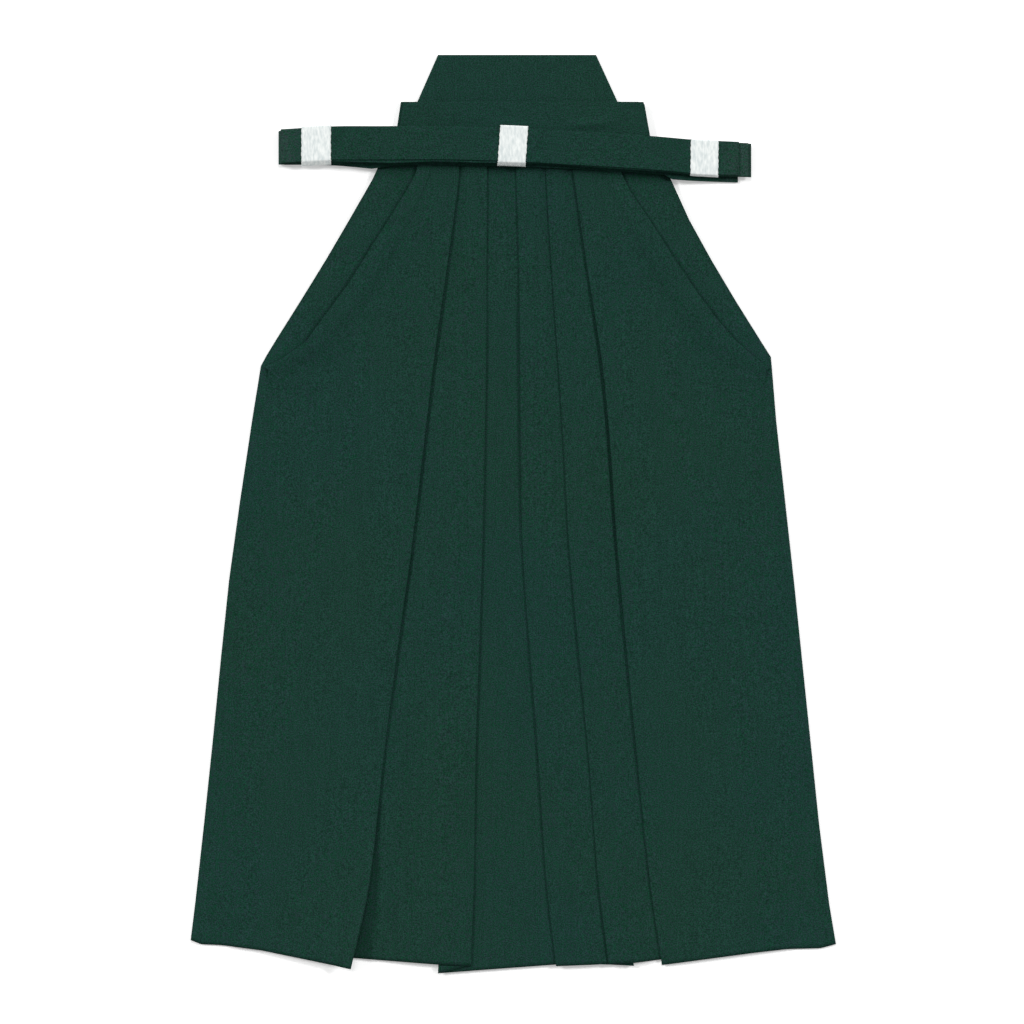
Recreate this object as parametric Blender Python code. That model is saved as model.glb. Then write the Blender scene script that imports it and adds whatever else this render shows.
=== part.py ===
"""Hakama trousers laid flat with the front up, the ties folded into a bundle at the waist.

x runs to the right as seen from above, y from the hem up to the back board, z up from the
surface that the garment lies on. The tables below are in millimetres, the meshes in metres.
The wearer's right leg is on the left, at negative x.
"""
import math

import bmesh
import bpy

MM = 0.001

# Cloth and seams
WALL = 1.0
GAP = 0.3
STEP = WALL + GAP
TIE_WALL = 1.2
TIE_STEP = TIE_WALL + GAP
TIE_WIDTH = 38.0
PAPER = 0.6
TURN_POINTS = 4

# Heights, each the underside of what it names
FRONT_FLOOR = STEP
BACK_TIE_FLOOR = 3 * STEP
FRONT_TIE_FLOOR = 7 * STEP
BOARD_THICKNESS = 3 * STEP - GAP

# Lengths down the garment
WAIST_Y = 423.4
BACK_TOP_SHARE = -0.0105
CORNER_LEFT = 0.27
CORNER_RIGHT = 0.2825
LEAF_END = CORNER_RIGHT

# Outer edges of both legs: share of the way down, x of the right leg's, x of the left leg's
EDGES = (
    (BACK_TOP_SHARE, -134.0, 150.0),
    (0.0, -138.5, 152.0),
    (0.03, -151.1, 171.3),
    (0.05, -159.5, 178.5),
    (0.1, -185.5, 199.2),
    (0.15, -212.0, 224.4),
    (0.2, -240.0, 251.5),
    (0.25, -268.5, 280.0),
    (CORNER_LEFT, -279.5, 291.5),
    (CORNER_RIGHT, -285.6, 292.5),
    (0.35, -295.5, 297.5),
    (0.45, -309.0, 307.5),
    (0.55, -321.5, 317.5),
    (0.65, -331.0, 327.0),
    (0.75, -340.0, 336.5),
    (0.85, -349.5, 346.0),
    (0.95, -359.5, 357.5),
    (1.0, -365.1, 365.1),
)

# Leaf folds beside the side slits: share of the way down, width of the leaf on the right leg
# and on the left leg, and how far the cloth is laid under
LEAVES = (
    (0.0, 33.0, 31.0, 12.0),
    (0.04, 45.5, 52.5, 13.0),
    (0.065, 45.4, 51.8, 15.0),
    (0.1, 44.2, 44.5, 18.0),
    (0.14, 42.3, 41.3, 18.0),
    (0.18, 41.8, 38.5, 16.0),
    (0.22, 37.2, 34.2, 14.0),
    (0.25, 34.5, 27.6, 11.0),
    (CORNER_LEFT, 23.5, 17.0, 8.0),
    (LEAF_END, 11.0, 2.0, 6.0),
)

# Below the corner of the slit the leaf fold opens out flat: share of the way down, how far
# each of its two bends still turns in degrees, and the length between the bends
LEAF_OPENING = (
    (LEAF_END, 180.0, 3.7),
    (0.286, 130.0, 0.6),
    (0.289, 90.0, 1.3),
    (0.292, 50.0, 2.3),
    (0.297, 20.0, 2.5),
    (0.303, 0.5, 2.5),
)

# Shares of the way from waist to hem at which the walls of the front and of the back have a
# section
STATIONS = (
    (0.0, 0.03, 0.06, 0.09, 0.125, 0.16, 0.195, 0.225, 0.25, CORNER_LEFT)
    + tuple(row[0] for row in LEAF_OPENING)
    + (0.33, 0.37, 0.4, 0.43, 0.465, 0.5, 0.535, 0.57, 0.605, 0.64, 0.7, 0.75, 0.8, 0.85, 0.875,
       0.9, 0.95, 1.0)
)
BACK_STATIONS = (
    BACK_TOP_SHARE, 0.03, 0.09, 0.16, 0.225, CORNER_LEFT, CORNER_RIGHT, 0.37, 0.5, 0.64, 0.75,
    0.85, 0.95, 1.0,
)

# Pleats of the right leg's front: share of the way down, x of fold 1 and its depth,
# x of fold 2 and its depth, x of the hidden inner edge
PLEATS_RIGHT = (
    (0.0, -60.0, 24.0, -29.0, 17.0, 21.0),
    (0.05, -61.8, 28.0, -29.3, 19.0, 23.5),
    (0.16, -75.5, 38.0, -30.0, 23.0, 30.0),
    (0.27, -89.8, 48.0, -30.3, 26.0, 36.0),
    (0.5, -115.5, 66.0, -34.8, 31.0, 44.0),
    (0.6, -128.6, 73.0, -37.7, 32.6, 51.5),
    (0.75, -146.8, 84.0, -42.4, 35.0, 63.0),
    (0.9, -162.8, 94.0, -44.4, 36.5, 76.0),
    (1.0, -183.2, 100.0, -47.9, 37.5, 87.5),
)

# Pleats of the left leg's front: share of the way down, x of fold 5 and its depth,
# x of fold 4 and its depth, x of fold 3 and its depth
PLEATS_LEFT = (
    (0.0, 63.0, 24.0, 36.0, 13.0, 1.6, 21.0),
    (0.05, 68.8, 28.0, 37.2, 16.0, 3.4, 22.0),
    (0.16, 84.0, 38.0, 43.3, 19.0, 6.2, 26.0),
    (0.27, 100.0, 48.0, 50.5, 21.0, 7.2, 30.0),
    (0.36, 108.6, 54.0, 56.0, 22.0, 8.0, 32.0),
    (0.5, 117.8, 66.0, 63.4, 24.0, 10.7, 35.0),
    (0.75, 139.8, 84.0, 85.0, 27.0, 28.0, 37.0),
    (0.9, 154.4, 94.0, 96.0, 28.5, 37.4, 39.5),
    (1.0, 167.9, 100.0, 107.6, 29.0, 48.2, 40.5),
)

# How far the two outer panels and the pleated middle of the front are raised at each share
# of the way down: at the waist all of it rises to the seam under the ties, and further down
# the middle lies on the pleats of the back
RAISED = (
    (0.0, 3.9, 3.9),
    (0.04, 3.9, 3.9),
    (0.12, 2.5, 3.5),
    (0.2, 0.8, 2.9),
    (0.27, 0.0, 2.6),
    (1.0, 0.0, 2.6),
)

# Hem of each layer of the front: x and y
HEM_RIGHT = {
    "panel": ((-365.1, -482.2), (-354.0, -486.8), (-330.0, -487.9), (-268.6, -495.8), (-207.5, -509.4),
              (-183.5, -513.9)),
    "fold 1": ((-283.2, -488.0), (-183.2, -511.0)),
    "strip 1": ((-283.2, -486.0), (-180.3, -502.6), (-88.6, -509.4), (-47.9, -511.0)),
    "fold 2": ((-85.4, -519.7), (-47.9, -514.0)),
    "strip 2": ((-85.4, -519.0), (-54.7, -517.3), (-10.5, -514.0), (43.8, -510.0), (87.5, -507.0)),
}
HEM_LEFT = {
    "panel": ((167.0, -510.5), (226.8, -502.6), (267.9, -497.0), (308.7, -492.4), (348.3, -491.3),
              (365.1, -486.8)),
    "fold 1": ((167.2, -508.0), (267.2, -493.0)),
    "strip 1": ((106.6, -509.4), (136.6, -507.7), (166.1, -504.3), (267.2, -491.0)),
    "fold 2": ((106.6, -510.5), (135.6, -511.1)),
    "strip 2": ((47.2, -511.5), (71.0, -510.5), (98.2, -509.4), (135.6, -510.5)),
    "fold 3": ((47.2, -510.5), (87.7, -506.0)),
}

# The folded edges stand up in places: share of the way down, lift of fold 1 and of fold 5
FOLD_LIFT = (
    (0.0, 0.0, 0.0),
    (0.195, 0.0, 0.6),
    (0.27, 0.0, 1.8),
    (0.37, 0.0, 2.4),
    (0.43, 0.0, 2.4),
    (0.5, 0.0, 1.6),
    (0.57, 0.0, 0.8),
    (0.64, 0.0, 0.3),
    (0.7, 0.0, 0.0),
    (0.8, 0.0, 0.0),
    (0.85, 2.5, 0.0),
    (0.9, 6.0, 0.0),
    (1.0, 13.0, 0.0),
)

# A lifted fold bends up this far from its edge, where it takes a share of the lift. The cloth
# turned under it takes a share of the lift too.
BEND_REACH = 20.0
BEND_SHARE = 0.3
UNDER_SHARE = 0.8

# An outer panel sinks onto the back where there is room between its leaf fold and its first
# pleat: the room at which it starts to, the room more that it needs to lie all the way down,
# and the longest slope on each side, in mm and as a share of the room
SINK_START = 18.0
SINK_MORE = 45.0
SLOPE_LONGEST = 60.0
SLOPE_SHARE = 0.4
CLEAR = 2.0

# Centre pleat of the back: share of the way down, distance of the fold from the centre line,
# and its depth
BACK_PLEAT = (
    (BACK_TOP_SHARE, 1.0, 36.0),
    (0.27, 2.5, 50.0),
    (1.0, 14.0, 84.0),
)
BACK_HEM = (
    (-365.1, -480.0), (-268.6, -492.5), (-183.5, -500.0), (0.0, -503.0), (167.0, -500.0),
    (267.9, -493.5), (365.1, -484.0),
)
EDGE_INSET = 0.6

# Back board: x and y of its corners, clockwise from the upper left
BOARD_CORNERS = ((-85.2, 519.6), (93.6, 519.6), (133.0, 433.9), (-122.9, 433.9))
BOARD_BEVEL = 0.6

# Back ties, folded across the board: x, height in steps above the board's face and the
# fold that ends the run, all along the middle of the strap
BACK_TIE_Y = 447.1
BACK_TIE_SPREAD = 0.022
BACK_TIE_START = -2
BACK_TIE_RIGHT = ((-130.2, BACK_TIE_START, 0), (145.0, 0, 1), (-112.0, 1, None))
BACK_TIE_LEFT = ((151.8, BACK_TIE_START, 2), (-127.0, 2, 3), (150.6, 3, None))

# Middle line of the front tie's bundle, seen from above: x and y
BUNDLE_LINE = (
    (-266.0, 416.6), (-205.0, 419.8), (-130.0, 419.3), (-50.0, 418.4), (0.0, 417.0), (40.0, 414.8),
    (110.0, 410.3), (170.0, 406.4), (205.0, 403.8), (270.0, 401.2),
)

# The bundle lies on the garment and comes down to the surface on both sides: x and height
BUNDLE_BED = (
    (-300.0, 0.0), (-240.0, 0.0), (-222.0, 0.7), (-204.0, 2.4), (-186.0, 4.5), (-168.0, 6.7),
    (-150.0, 8.4), (-132.0, FRONT_TIE_FLOOR), (-90.0, FRONT_TIE_FLOOR), (-45.0, FRONT_TIE_FLOOR),
    (0.0, FRONT_TIE_FLOOR), (45.0, FRONT_TIE_FLOOR), (90.0, FRONT_TIE_FLOOR),
    (125.0, FRONT_TIE_FLOOR), (158.0, FRONT_TIE_FLOOR), (173.0, 8.4), (188.0, 6.7),
    (203.0, 4.5), (218.0, 2.4), (233.0, 0.7), (248.0, 0.0), (300.0, 0.0),
)

# Least distance along the bundle between a row of the bed and a row of the tie's run
BED_SPACING = 8.0

# Run of the front tie from one free end to the other: x, layer in the bundle, how far the
# strap lies below the bundle's middle line there, and whether it folds to the next row's layer
FRONT_TIE_RUN = (
    (-236.0, 3, 4.6, False),
    (-140.0, 3, 4.6, False),
    (-90.0, 3, 2.6, False),
    (-40.0, 3, 3.6, False),
    (36.0, 3, 1.2, False),
    (269.2, 3, 1.6, True),
    (36.0, 2, 1.6, False),
    (-40.0, 2, 4.0, False),
    (-90.0, 2, 3.0, False),
    (-140.0, 2, 4.9, False),
    (-259.6, 2, 3.0, True),
    (-196.0, 1, 6.4, False),
    (-150.0, 1, 7.0, False),
    (-110.0, 1, 5.2, False),
    (0.0, 1, 5.0, False),
    (110.0, 1, 3.3, False),
    (172.0, 1, 3.0, False),
    (190.0, 1, 7.2, False),
    (254.3, 1, 7.6, True),
    (192.0, 0, 7.7, False),
    (174.0, 0, 3.3, False),
    (110.0, 0, 3.6, False),
    (0.0, 0, 5.3, False),
    (-130.0, 0, 6.0, False),
    (-160.0, 0, 10.8, False),
    (-196.0, 0, 7.1, False),
    (-265.7, 0, 2.3, True),
    (-140.0, 4, 4.3, False),
    (-90.0, 4, 2.3, False),
    (-40.0, 4, 3.2, False),
    (36.0, 4, 0.9, False),
    (265.7, 4, 1.2, True),
    (36.0, 5, 0.6, False),
    (-40.0, 5, 2.9, False),
    (-90.0, 5, 2.0, False),
    (-140.0, 5, 4.0, False),
    (-263.0, 5, 1.0, True),
    (0.0, 6, 0.0, False),
    (255.0, 6, 0.0, False),
)
TOP_LAYER = 6
FIRST_WRAPPED_LAYER = 2

# Paper bands around the upper layers: name, x of the middle, width along the bundle, how far
# the loop reaches above and below the top strap, and lean of the side edges
PAPER_BANDS = (
    ("paper_band_right", -222.8, 33.4, 0.3, 5.6, 0.0),
    ("paper_band_centre", -0.4, 31.4, 2.2, 5.0, 0.07),
    ("paper_band_left", 216.0, 31.4, 0.3, 2.6, 0.012),
)

# The lower side of a band slopes out from this far beyond the top strap, down to this share of
# the band's height
BAND_SLACK = 1.0
BAND_BEND = 0.45

GREEN = (0.012, 0.046, 0.032, 1.0)
WHITE = (0.83, 0.87, 0.86, 1.0)


def clamp(value):
    return min(1.0, max(0.0, value))


def ease(t):
    """0 to 1 with level ends."""
    t = clamp(t)
    return t * t * (3.0 - 2.0 * t)


def mix(a, b, t):
    return a + (b - a) * t


def straight(rows, key, column=1):
    """Value of a column between the rows of a table, on straight lines."""
    low = 0
    while low < len(rows) - 2 and rows[low + 1][0] <= key:
        low += 1
    a, b = rows[low], rows[low + 1]
    return mix(a[column], b[column], (key - a[0]) / (b[0] - a[0]))


def smooth(rows, key, column=1):
    """Value of a column between the rows of a table, on a curve through all of them."""
    low = 0
    while low < len(rows) - 2 and rows[low + 1][0] <= key:
        low += 1

    def slope(i):
        before, after = max(i - 1, 0), min(i + 1, len(rows) - 1)
        return (rows[after][column] - rows[before][column]) / (rows[after][0] - rows[before][0])

    a, b = rows[low], rows[low + 1]
    width = b[0] - a[0]
    t = clamp((key - a[0]) / width)
    return (
        (2 * t**3 - 3 * t**2 + 1) * a[column]
        + (t**3 - 2 * t**2 + t) * width * slope(low)
        + (3 * t**2 - 2 * t**3) * b[column]
        + (t**3 - t**2) * width * slope(low + 1)
    )


def turn(edge, facing, start, end, wall=WALL):
    """Half circle of a fold whose outside reaches the edge, from one height to another."""
    radius = abs(end - start) / 2
    middle = edge - facing * (wall / 2 + radius)
    points = []
    for i in range(TURN_POINTS):
        angle = math.pi * (i / (TURN_POINTS - 1) - 0.5)
        across = middle + facing * radius * math.cos(angle)
        height = (start + end) / 2 + (end - start) / 2 * math.sin(angle)
        points.append((across, height))
    return points


def thicken(line, wall):
    """Both faces of a wall along its middle line, square to it."""
    upper, lower = [], []
    for i, (x, z) in enumerate(line):
        normals = []
        for j in (i - 1, i):
            if 0 <= j < len(line) - 1:
                run, rise = line[j + 1][0] - line[j][0], line[j + 1][1] - line[j][1]
                length = math.hypot(run, rise)
                normals.append((-rise / length, run / length))
        nx = sum(n[0] for n in normals) / len(normals)
        nz = sum(n[1] for n in normals) / len(normals)
        scale = wall / 2 / (nx * nx + nz * nz)
        upper.append((x + nx * scale, z + nz * scale))
        lower.append((x - nx * scale, z - nz * scale))
    return upper, lower


def wall_mesh(name, upper, lower, colour):
    """Closed wall between two grids of points given in millimetres."""
    mesh = bpy.data.meshes.new(name)
    shape = bmesh.new()
    sides = [[[shape.verts.new([c * MM for c in p]) for p in row] for row in grid]
             for grid in (upper, lower)]
    rows, columns = len(upper), len(upper[0])
    for grid in sides:
        for r in range(rows - 1):
            for c in range(columns - 1):
                shape.faces.new((grid[r][c], grid[r][c + 1], grid[r + 1][c + 1], grid[r + 1][c]))
    top, bottom = sides
    for r in (0, rows - 1):
        for c in range(columns - 1):
            shape.faces.new((top[r][c], top[r][c + 1], bottom[r][c + 1], bottom[r][c]))
    for c in (0, columns - 1):
        for r in range(rows - 1):
            shape.faces.new((top[r][c], top[r + 1][c], bottom[r + 1][c], bottom[r][c]))
    bmesh.ops.triangulate(shape, faces=shape.faces[:], quad_method="SHORT_EDGE")
    bmesh.ops.recalc_face_normals(shape, faces=shape.faces[:])
    shape.to_mesh(mesh)
    shape.free()
    return place(name, mesh, colour)


def place(name, mesh, colour):
    piece = bpy.data.objects.new(name, mesh)
    bpy.context.scene.collection.objects.link(piece)
    material = bpy.data.materials.new(name)
    material.use_nodes = True
    shader = material.node_tree.nodes["Principled BSDF"]
    shader.inputs["Base Color"].default_value = colour
    shader.inputs["Roughness"].default_value = 0.9
    shader.inputs["Metallic"].default_value = 0.0
    material.diffuse_color = colour
    mesh.materials.append(material)
    return piece


def level(layer, raised):
    """Middle height of a layer of the front, counted from its lowest."""
    return FRONT_FLOOR + WALL / 2 + layer * STEP + raised


def slope_points(start, end, low, high, count=5):
    """Points of a soft rise or fall between two places."""
    return [(mix(start, end, i / (count - 1)), mix(low, high, ease(i / (count - 1))))
            for i in range(count)]


def leaf_points(edge, share, leaf_column, raised):
    """Side edge, leaf and leaf fold, an S of two bends that opens out below the slit."""
    width = straight(LEAVES, min(share, LEAF_END), leaf_column)
    depth = straight(LEAVES, min(share, LEAF_END), 3)
    inner = edge + width + depth
    if share <= LEAF_END:
        degrees, run = 180.0, depth - WALL - STEP
    else:
        opened = min(share, LEAF_OPENING[-1][0])
        degrees, run = straight(LEAF_OPENING, opened, 1), straight(LEAF_OPENING, opened, 2)
    angle = math.radians(degrees)
    radius = STEP / 2 * max(1.0, 90.0 / degrees)
    x, z = inner - WALL / 2 - STEP / 2, level(0, raised)
    line = [(edge, z)]
    for i in range(TURN_POINTS):
        bend = angle * i / (TURN_POINTS - 1)
        line.append((x + radius * math.sin(bend), z + radius * (1.0 - math.cos(bend))))
    x, z = line[-1][0] + run * math.cos(angle), line[-1][1] + run * math.sin(angle)
    for i in range(TURN_POINTS):
        bend = angle * (1.0 - i / (TURN_POINTS - 1))
        line.append((x + radius * (math.sin(angle) - math.sin(bend)),
                     z + radius * (math.cos(bend) - math.cos(angle))))
    line.append((max(line[-1][0], inner) + CLEAR, line[-1][1]))
    return line


def panel_points(start, end, start_height, raised):
    """Outer panel, which sinks onto the back between the leaf fold and the first pleat."""
    room = end - start
    sunk = clamp((room - SINK_START) / SINK_MORE)
    lowest = mix(level(2, raised), level(0, raised), sunk)
    reach = min(SLOPE_LONGEST, room * SLOPE_SHARE)
    down = slope_points(start, start + reach, start_height, min(lowest, start_height), 4)
    up = slope_points(end - reach, end, lowest, level(2, raised), 4)
    return down[1:] + up


def front_section(share, inward, edge_column, leaf_column, pleats, tail):
    """Middle line of a leg's front at one share of the way down, from its outer edge inward.

    Each point is the distance inward, the height and the layer that it belongs to.
    """
    outer = straight(RAISED, share, 1)
    middle = straight(RAISED, share, 2)
    edge = inward * straight(EDGES, share, edge_column)
    lift = straight(FOLD_LIFT, share, edge_column)
    first, first_depth = inward * smooth(pleats, share, 1), smooth(pleats, share, 2)
    second, second_depth = inward * smooth(pleats, share, 3), smooth(pleats, share, 4)

    line = [(a, z, "panel") for a, z in leaf_points(edge, share, leaf_column, outer)]
    under = first - first_depth
    line += [(a, z, "panel") for a, z in
             panel_points(line[-1][0], under - CLEAR, line[-1][1], outer)]
    bend = first - BEND_REACH
    line.append((bend, level(2, outer) + BEND_SHARE * lift, "panel"))
    line += [(a, z, "panel") for a, z in
             turn(first, 1, level(2, outer) + lift, level(1, outer) + UNDER_SHARE * lift)]
    line.append((bend, level(1, outer) + BEND_SHARE * UNDER_SHARE * lift, "fold 1"))
    line += [(a, z, "fold 1") for a, z in turn(under, -1, level(1, outer), level(0, outer))]
    line.append((bend, level(0, outer), "strip 1"))

    under = second - second_depth
    line += [(a, z, "strip 1") for a, z in
             slope_points(first + CLEAR, under - CLEAR, level(0, outer), level(2, middle), 6)]
    line += [(a, z, "strip 1") for a, z in turn(second, 1, level(2, middle), level(1, middle))]
    line += [(a, z, "fold 2") for a, z in turn(under, -1, level(1, middle), level(0, middle))]
    line.append((second - CLEAR, level(0, middle), "strip 2"))

    if tail == "strip":
        end = inward * smooth(pleats, share, 5)
        line.append((mix(second, end, 0.5), level(0, middle), "strip 2"))
        line.append((end, level(0, middle), "strip 2"))
    else:
        third, third_depth = inward * smooth(pleats, share, 5), smooth(pleats, share, 6)
        under = third - third_depth
        line += [(a, z, "strip 2") for a, z in
                 slope_points(second + CLEAR, under - CLEAR, level(0, middle), level(2, middle))]
        line += [(a, z, "strip 2") for a, z in turn(third, 1, level(2, middle), level(1, middle))]
        line.append((under + 0.5, level(1, middle), "fold 3"))
    return line


def front_leg(name, inward, edge_column, leaf_column, pleats, hems, tail):
    def section(share):
        return front_section(share, inward, edge_column, leaf_column, pleats, tail)

    hem = [straight(hems[layer], inward * a) for a, z, layer in section(1.0)]
    upper, lower = [], []
    for share in STATIONS:
        faces = thicken([(a, z) for a, z, layer in section(share)], WALL)
        for grid, face in zip((upper, lower), faces):
            grid.append([(inward * a, mix(WAIST_Y, hem[i], share), z)
                         for i, (a, z) in enumerate(face)])
    return wall_mesh(name, upper, lower, GREEN)


def back_leg(name, inward, edge_column):
    """Back of a leg: it lies on the surface and folds up and over at the centre back."""
    levels = [WALL / 2 + k * STEP for k in range(3)]

    def section(share):
        edge = inward * straight(EDGES, share, edge_column) + EDGE_INSET
        fold = -straight(BACK_PLEAT, share, 1)
        under = fold - straight(BACK_PLEAT, share, 2)
        line = [(mix(edge, under, t), levels[0]) for t in (0.0, 0.33, 0.67)]
        line.append((under, levels[0]))
        line += turn(fold, 1, levels[0], levels[1])
        line += turn(under, -1, levels[1], levels[2])
        line += [(mix(under, 0.0, 0.5), levels[2]), (-GAP / 2, levels[2])]
        return line

    hem = [straight(BACK_HEM, inward * a) for a, z in section(1.0)]
    upper, lower = [], []
    for share in BACK_STATIONS:
        faces = thicken(section(share), WALL)
        for grid, face in zip((upper, lower), faces):
            grid.append([(inward * a, mix(WAIST_Y, hem[i], share), z)
                         for i, (a, z) in enumerate(face)])
    return wall_mesh(name, upper, lower, GREEN)


def board():
    """Stiff back board: a covered card with four corners."""
    mesh = bpy.data.meshes.new("back_board")
    shape = bmesh.new()
    bottom = [shape.verts.new((x * MM, y * MM, 0.0)) for x, y in BOARD_CORNERS]
    face = shape.faces.new(bottom)
    raised = bmesh.ops.extrude_face_region(shape, geom=[face])
    moved = [g for g in raised["geom"] if isinstance(g, bmesh.types.BMVert)]
    bmesh.ops.translate(shape, verts=moved, vec=(0.0, 0.0, BOARD_THICKNESS * MM))
    bmesh.ops.recalc_face_normals(shape, faces=shape.faces[:])
    bmesh.ops.bevel(shape, geom=shape.edges[:], offset=BOARD_BEVEL * MM, segments=2,
                    affect="EDGES", profile=0.5)
    bmesh.ops.triangulate(shape, faces=shape.faces[:])
    shape.to_mesh(mesh)
    shape.free()
    return place("back_board", mesh, GREEN)


def board_side(side, y):
    """x of the board's left or right edge at a height up the garment."""
    upper_left, upper_right, lower_right, lower_left = BOARD_CORNERS
    upper, lower = (upper_left, lower_left) if side < 0 else (upper_right, lower_right)
    return mix(upper[0], lower[0], (upper[1] - y) / (upper[1] - lower[1]))


def back_tie(name, side, run):
    """A tie sewn to the board's side: out to a fold, then to and fro over the board."""
    def height(steps):
        return BACK_TIE_FLOOR + WALL / 2 + steps * STEP

    line = [(board_side(side, BACK_TIE_Y) + side * GAP, height(run[0][1]))]
    facing = side
    for x, layer, onto in run:
        if onto is None:
            line.append((x, height(layer)))
        else:
            line += turn(x, facing, height(layer), height(onto))
            facing = -facing
    faces = thicken(line, WALL)
    upper, lower = [], []
    for across in (-1, 1):
        y = BACK_TIE_Y + across * TIE_WIDTH / 2
        for grid, face in zip((upper, lower), faces):
            row = [(x * (1 - across * BACK_TIE_SPREAD), y, z) for x, z in face]
            row[0] = (board_side(side, y) + side * GAP, y, face[0][1])
            grid.append(row)
    return wall_mesh(name, upper, lower, GREEN)


def tie_height(layer):
    """Middle height of a layer of the bundle above the bed, with room for the paper."""
    paper_room = PAPER + GAP if layer >= FIRST_WRAPPED_LAYER else 0.0
    return TIE_WALL / 2 + layer * TIE_STEP + paper_room


def front_tie():
    """One strap: the waistband and both long ties, folded to and fro into a bundle."""
    line = []
    offsets = []
    for i, (x, layer, below, folds) in enumerate(FRONT_TIE_RUN):
        if line:
            last_x, last_below = line[-1][0], offsets[-1]
            between = [row[0] for row in BUNDLE_BED
                       if min(last_x, x) + BED_SPACING < row[0] < max(last_x, x) - BED_SPACING]
            for bed_x in sorted(between, reverse=x < last_x):
                line.append((bed_x, tie_height(layer)))
                offsets.append(mix(last_below, below, (bed_x - last_x) / (x - last_x)))
        if folds:
            facing = 1 if x > 0 else -1
            next_layer = FRONT_TIE_RUN[i + 1][1]
            points = turn(x, facing, tie_height(layer), tie_height(next_layer), TIE_WALL)
        else:
            points = [(x, tie_height(layer))]
        line += points
        offsets += [below] * len(points)
    faces = thicken(line, TIE_WALL)
    upper, lower = [], []
    for across in (-1, 1):
        for grid, face in zip((upper, lower), faces):
            row = []
            for (x, z), offset in zip(face, offsets):
                y = smooth(BUNDLE_LINE, x) - offset + across * TIE_WIDTH / 2
                row.append((x, y, z + straight(BUNDLE_BED, x)))
            grid.append(row)
    return wall_mesh("front_tie", upper, lower, GREEN)


def paper_band(name, middle, width, above, below, lean):
    """Closed paper loop around the upper layers of the bundle."""
    bottom = tie_height(FIRST_WRAPPED_LAYER) - TIE_WALL / 2 - GAP
    top = tie_height(TOP_LAYER) + TIE_WALL / 2 + GAP
    half = TIE_WIDTH / 2 + GAP
    upper_side, lower_side = half + above, -half - below
    corners = (
        (upper_side, bottom), (upper_side, mix(bottom, top, 0.5)), (upper_side, top), (0.0, top),
        (-half - BAND_SLACK, top), (lower_side, mix(bottom, top, BAND_BEND)), (lower_side, bottom),
        (0.0, bottom),
    )
    ends = (middle - width / 2, middle + width / 2)
    xs = sorted(list(ends) + [row[0] for row in BUNDLE_BED if ends[0] + 1 < row[0] < ends[1] - 1])
    mesh = bpy.data.meshes.new(name)
    shape = bmesh.new()
    rings = []
    for x in xs:
        for outward in (0.0, PAPER):
            ring = []
            for q, w in corners:
                q_out = q + outward * ((q > 0) - (q < 0))
                w_out = w + outward * ((w == top) - (w == bottom))
                place_x = x + lean * q_out
                y = smooth(BUNDLE_LINE, place_x) + q_out
                z = w_out + straight(BUNDLE_BED, x)
                ring.append(shape.verts.new((place_x * MM, y * MM, z * MM)))
            rings.append(ring)
    count = len(corners)
    for i in range(len(xs) - 1):
        for face in (0, 1):
            a, b = rings[2 * i + face], rings[2 * i + 2 + face]
            for c in range(count):
                d = (c + 1) % count
                shape.faces.new((a[c], a[d], b[d], b[c]))
    for a, b in ((rings[0], rings[1]), (rings[-2], rings[-1])):
        for c in range(count):
            d = (c + 1) % count
            shape.faces.new((a[c], a[d], b[d], b[c]))
    bmesh.ops.triangulate(shape, faces=shape.faces[:])
    bmesh.ops.recalc_face_normals(shape, faces=shape.faces[:])
    shape.to_mesh(mesh)
    shape.free()
    return place(name, mesh, WHITE)


def build():
    for item in list(bpy.data.objects):
        bpy.data.objects.remove(item, do_unlink=True)
    back_leg("back_right_leg", 1, 1)
    back_leg("back_left_leg", -1, 2)
    front_leg("front_right_leg", 1, 1, 1, PLEATS_RIGHT, HEM_RIGHT, "strip")
    front_leg("front_left_leg", -1, 2, 2, PLEATS_LEFT, HEM_LEFT, "fold")
    board()
    back_tie("back_tie_right", -1, BACK_TIE_RIGHT)
    back_tie("back_tie_left", 1, BACK_TIE_LEFT)
    front_tie()
    for row in PAPER_BANDS:
        paper_band(*row)


build()
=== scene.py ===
"""Looks of the hakama trousers: thin cloth shells, folded ties, paper bands and materials."""
import math

import bmesh
import bpy
import numpy as np
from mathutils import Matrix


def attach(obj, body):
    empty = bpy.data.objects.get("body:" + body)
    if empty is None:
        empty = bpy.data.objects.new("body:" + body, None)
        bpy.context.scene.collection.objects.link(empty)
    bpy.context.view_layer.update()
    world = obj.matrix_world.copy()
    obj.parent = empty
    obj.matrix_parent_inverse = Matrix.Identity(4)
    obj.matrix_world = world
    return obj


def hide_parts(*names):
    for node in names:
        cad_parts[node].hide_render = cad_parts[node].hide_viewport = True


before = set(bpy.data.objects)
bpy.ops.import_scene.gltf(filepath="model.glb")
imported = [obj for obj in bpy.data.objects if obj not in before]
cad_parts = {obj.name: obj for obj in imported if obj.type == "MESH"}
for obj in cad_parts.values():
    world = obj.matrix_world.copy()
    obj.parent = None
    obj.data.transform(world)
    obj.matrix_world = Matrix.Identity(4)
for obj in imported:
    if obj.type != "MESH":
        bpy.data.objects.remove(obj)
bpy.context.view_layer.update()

MM = 0.001

# Cloth and seams, in mm. WALL, GAP, TIE_WALL and PAPER are the frame's. Shells are thinner.
WALL = 1.0
GAP = 0.3
STEP = WALL + GAP
SHELL = 0.7
TIE_WALL = 1.2
TIE_STEP = TIE_WALL + GAP
TIE_WIDTH = 38.0
FRONT_TIE_SHELL = 1.05
BACK_TIE_SHELL = 0.85
PAPER = 0.6
PAPER_SHELL = 0.35

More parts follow.
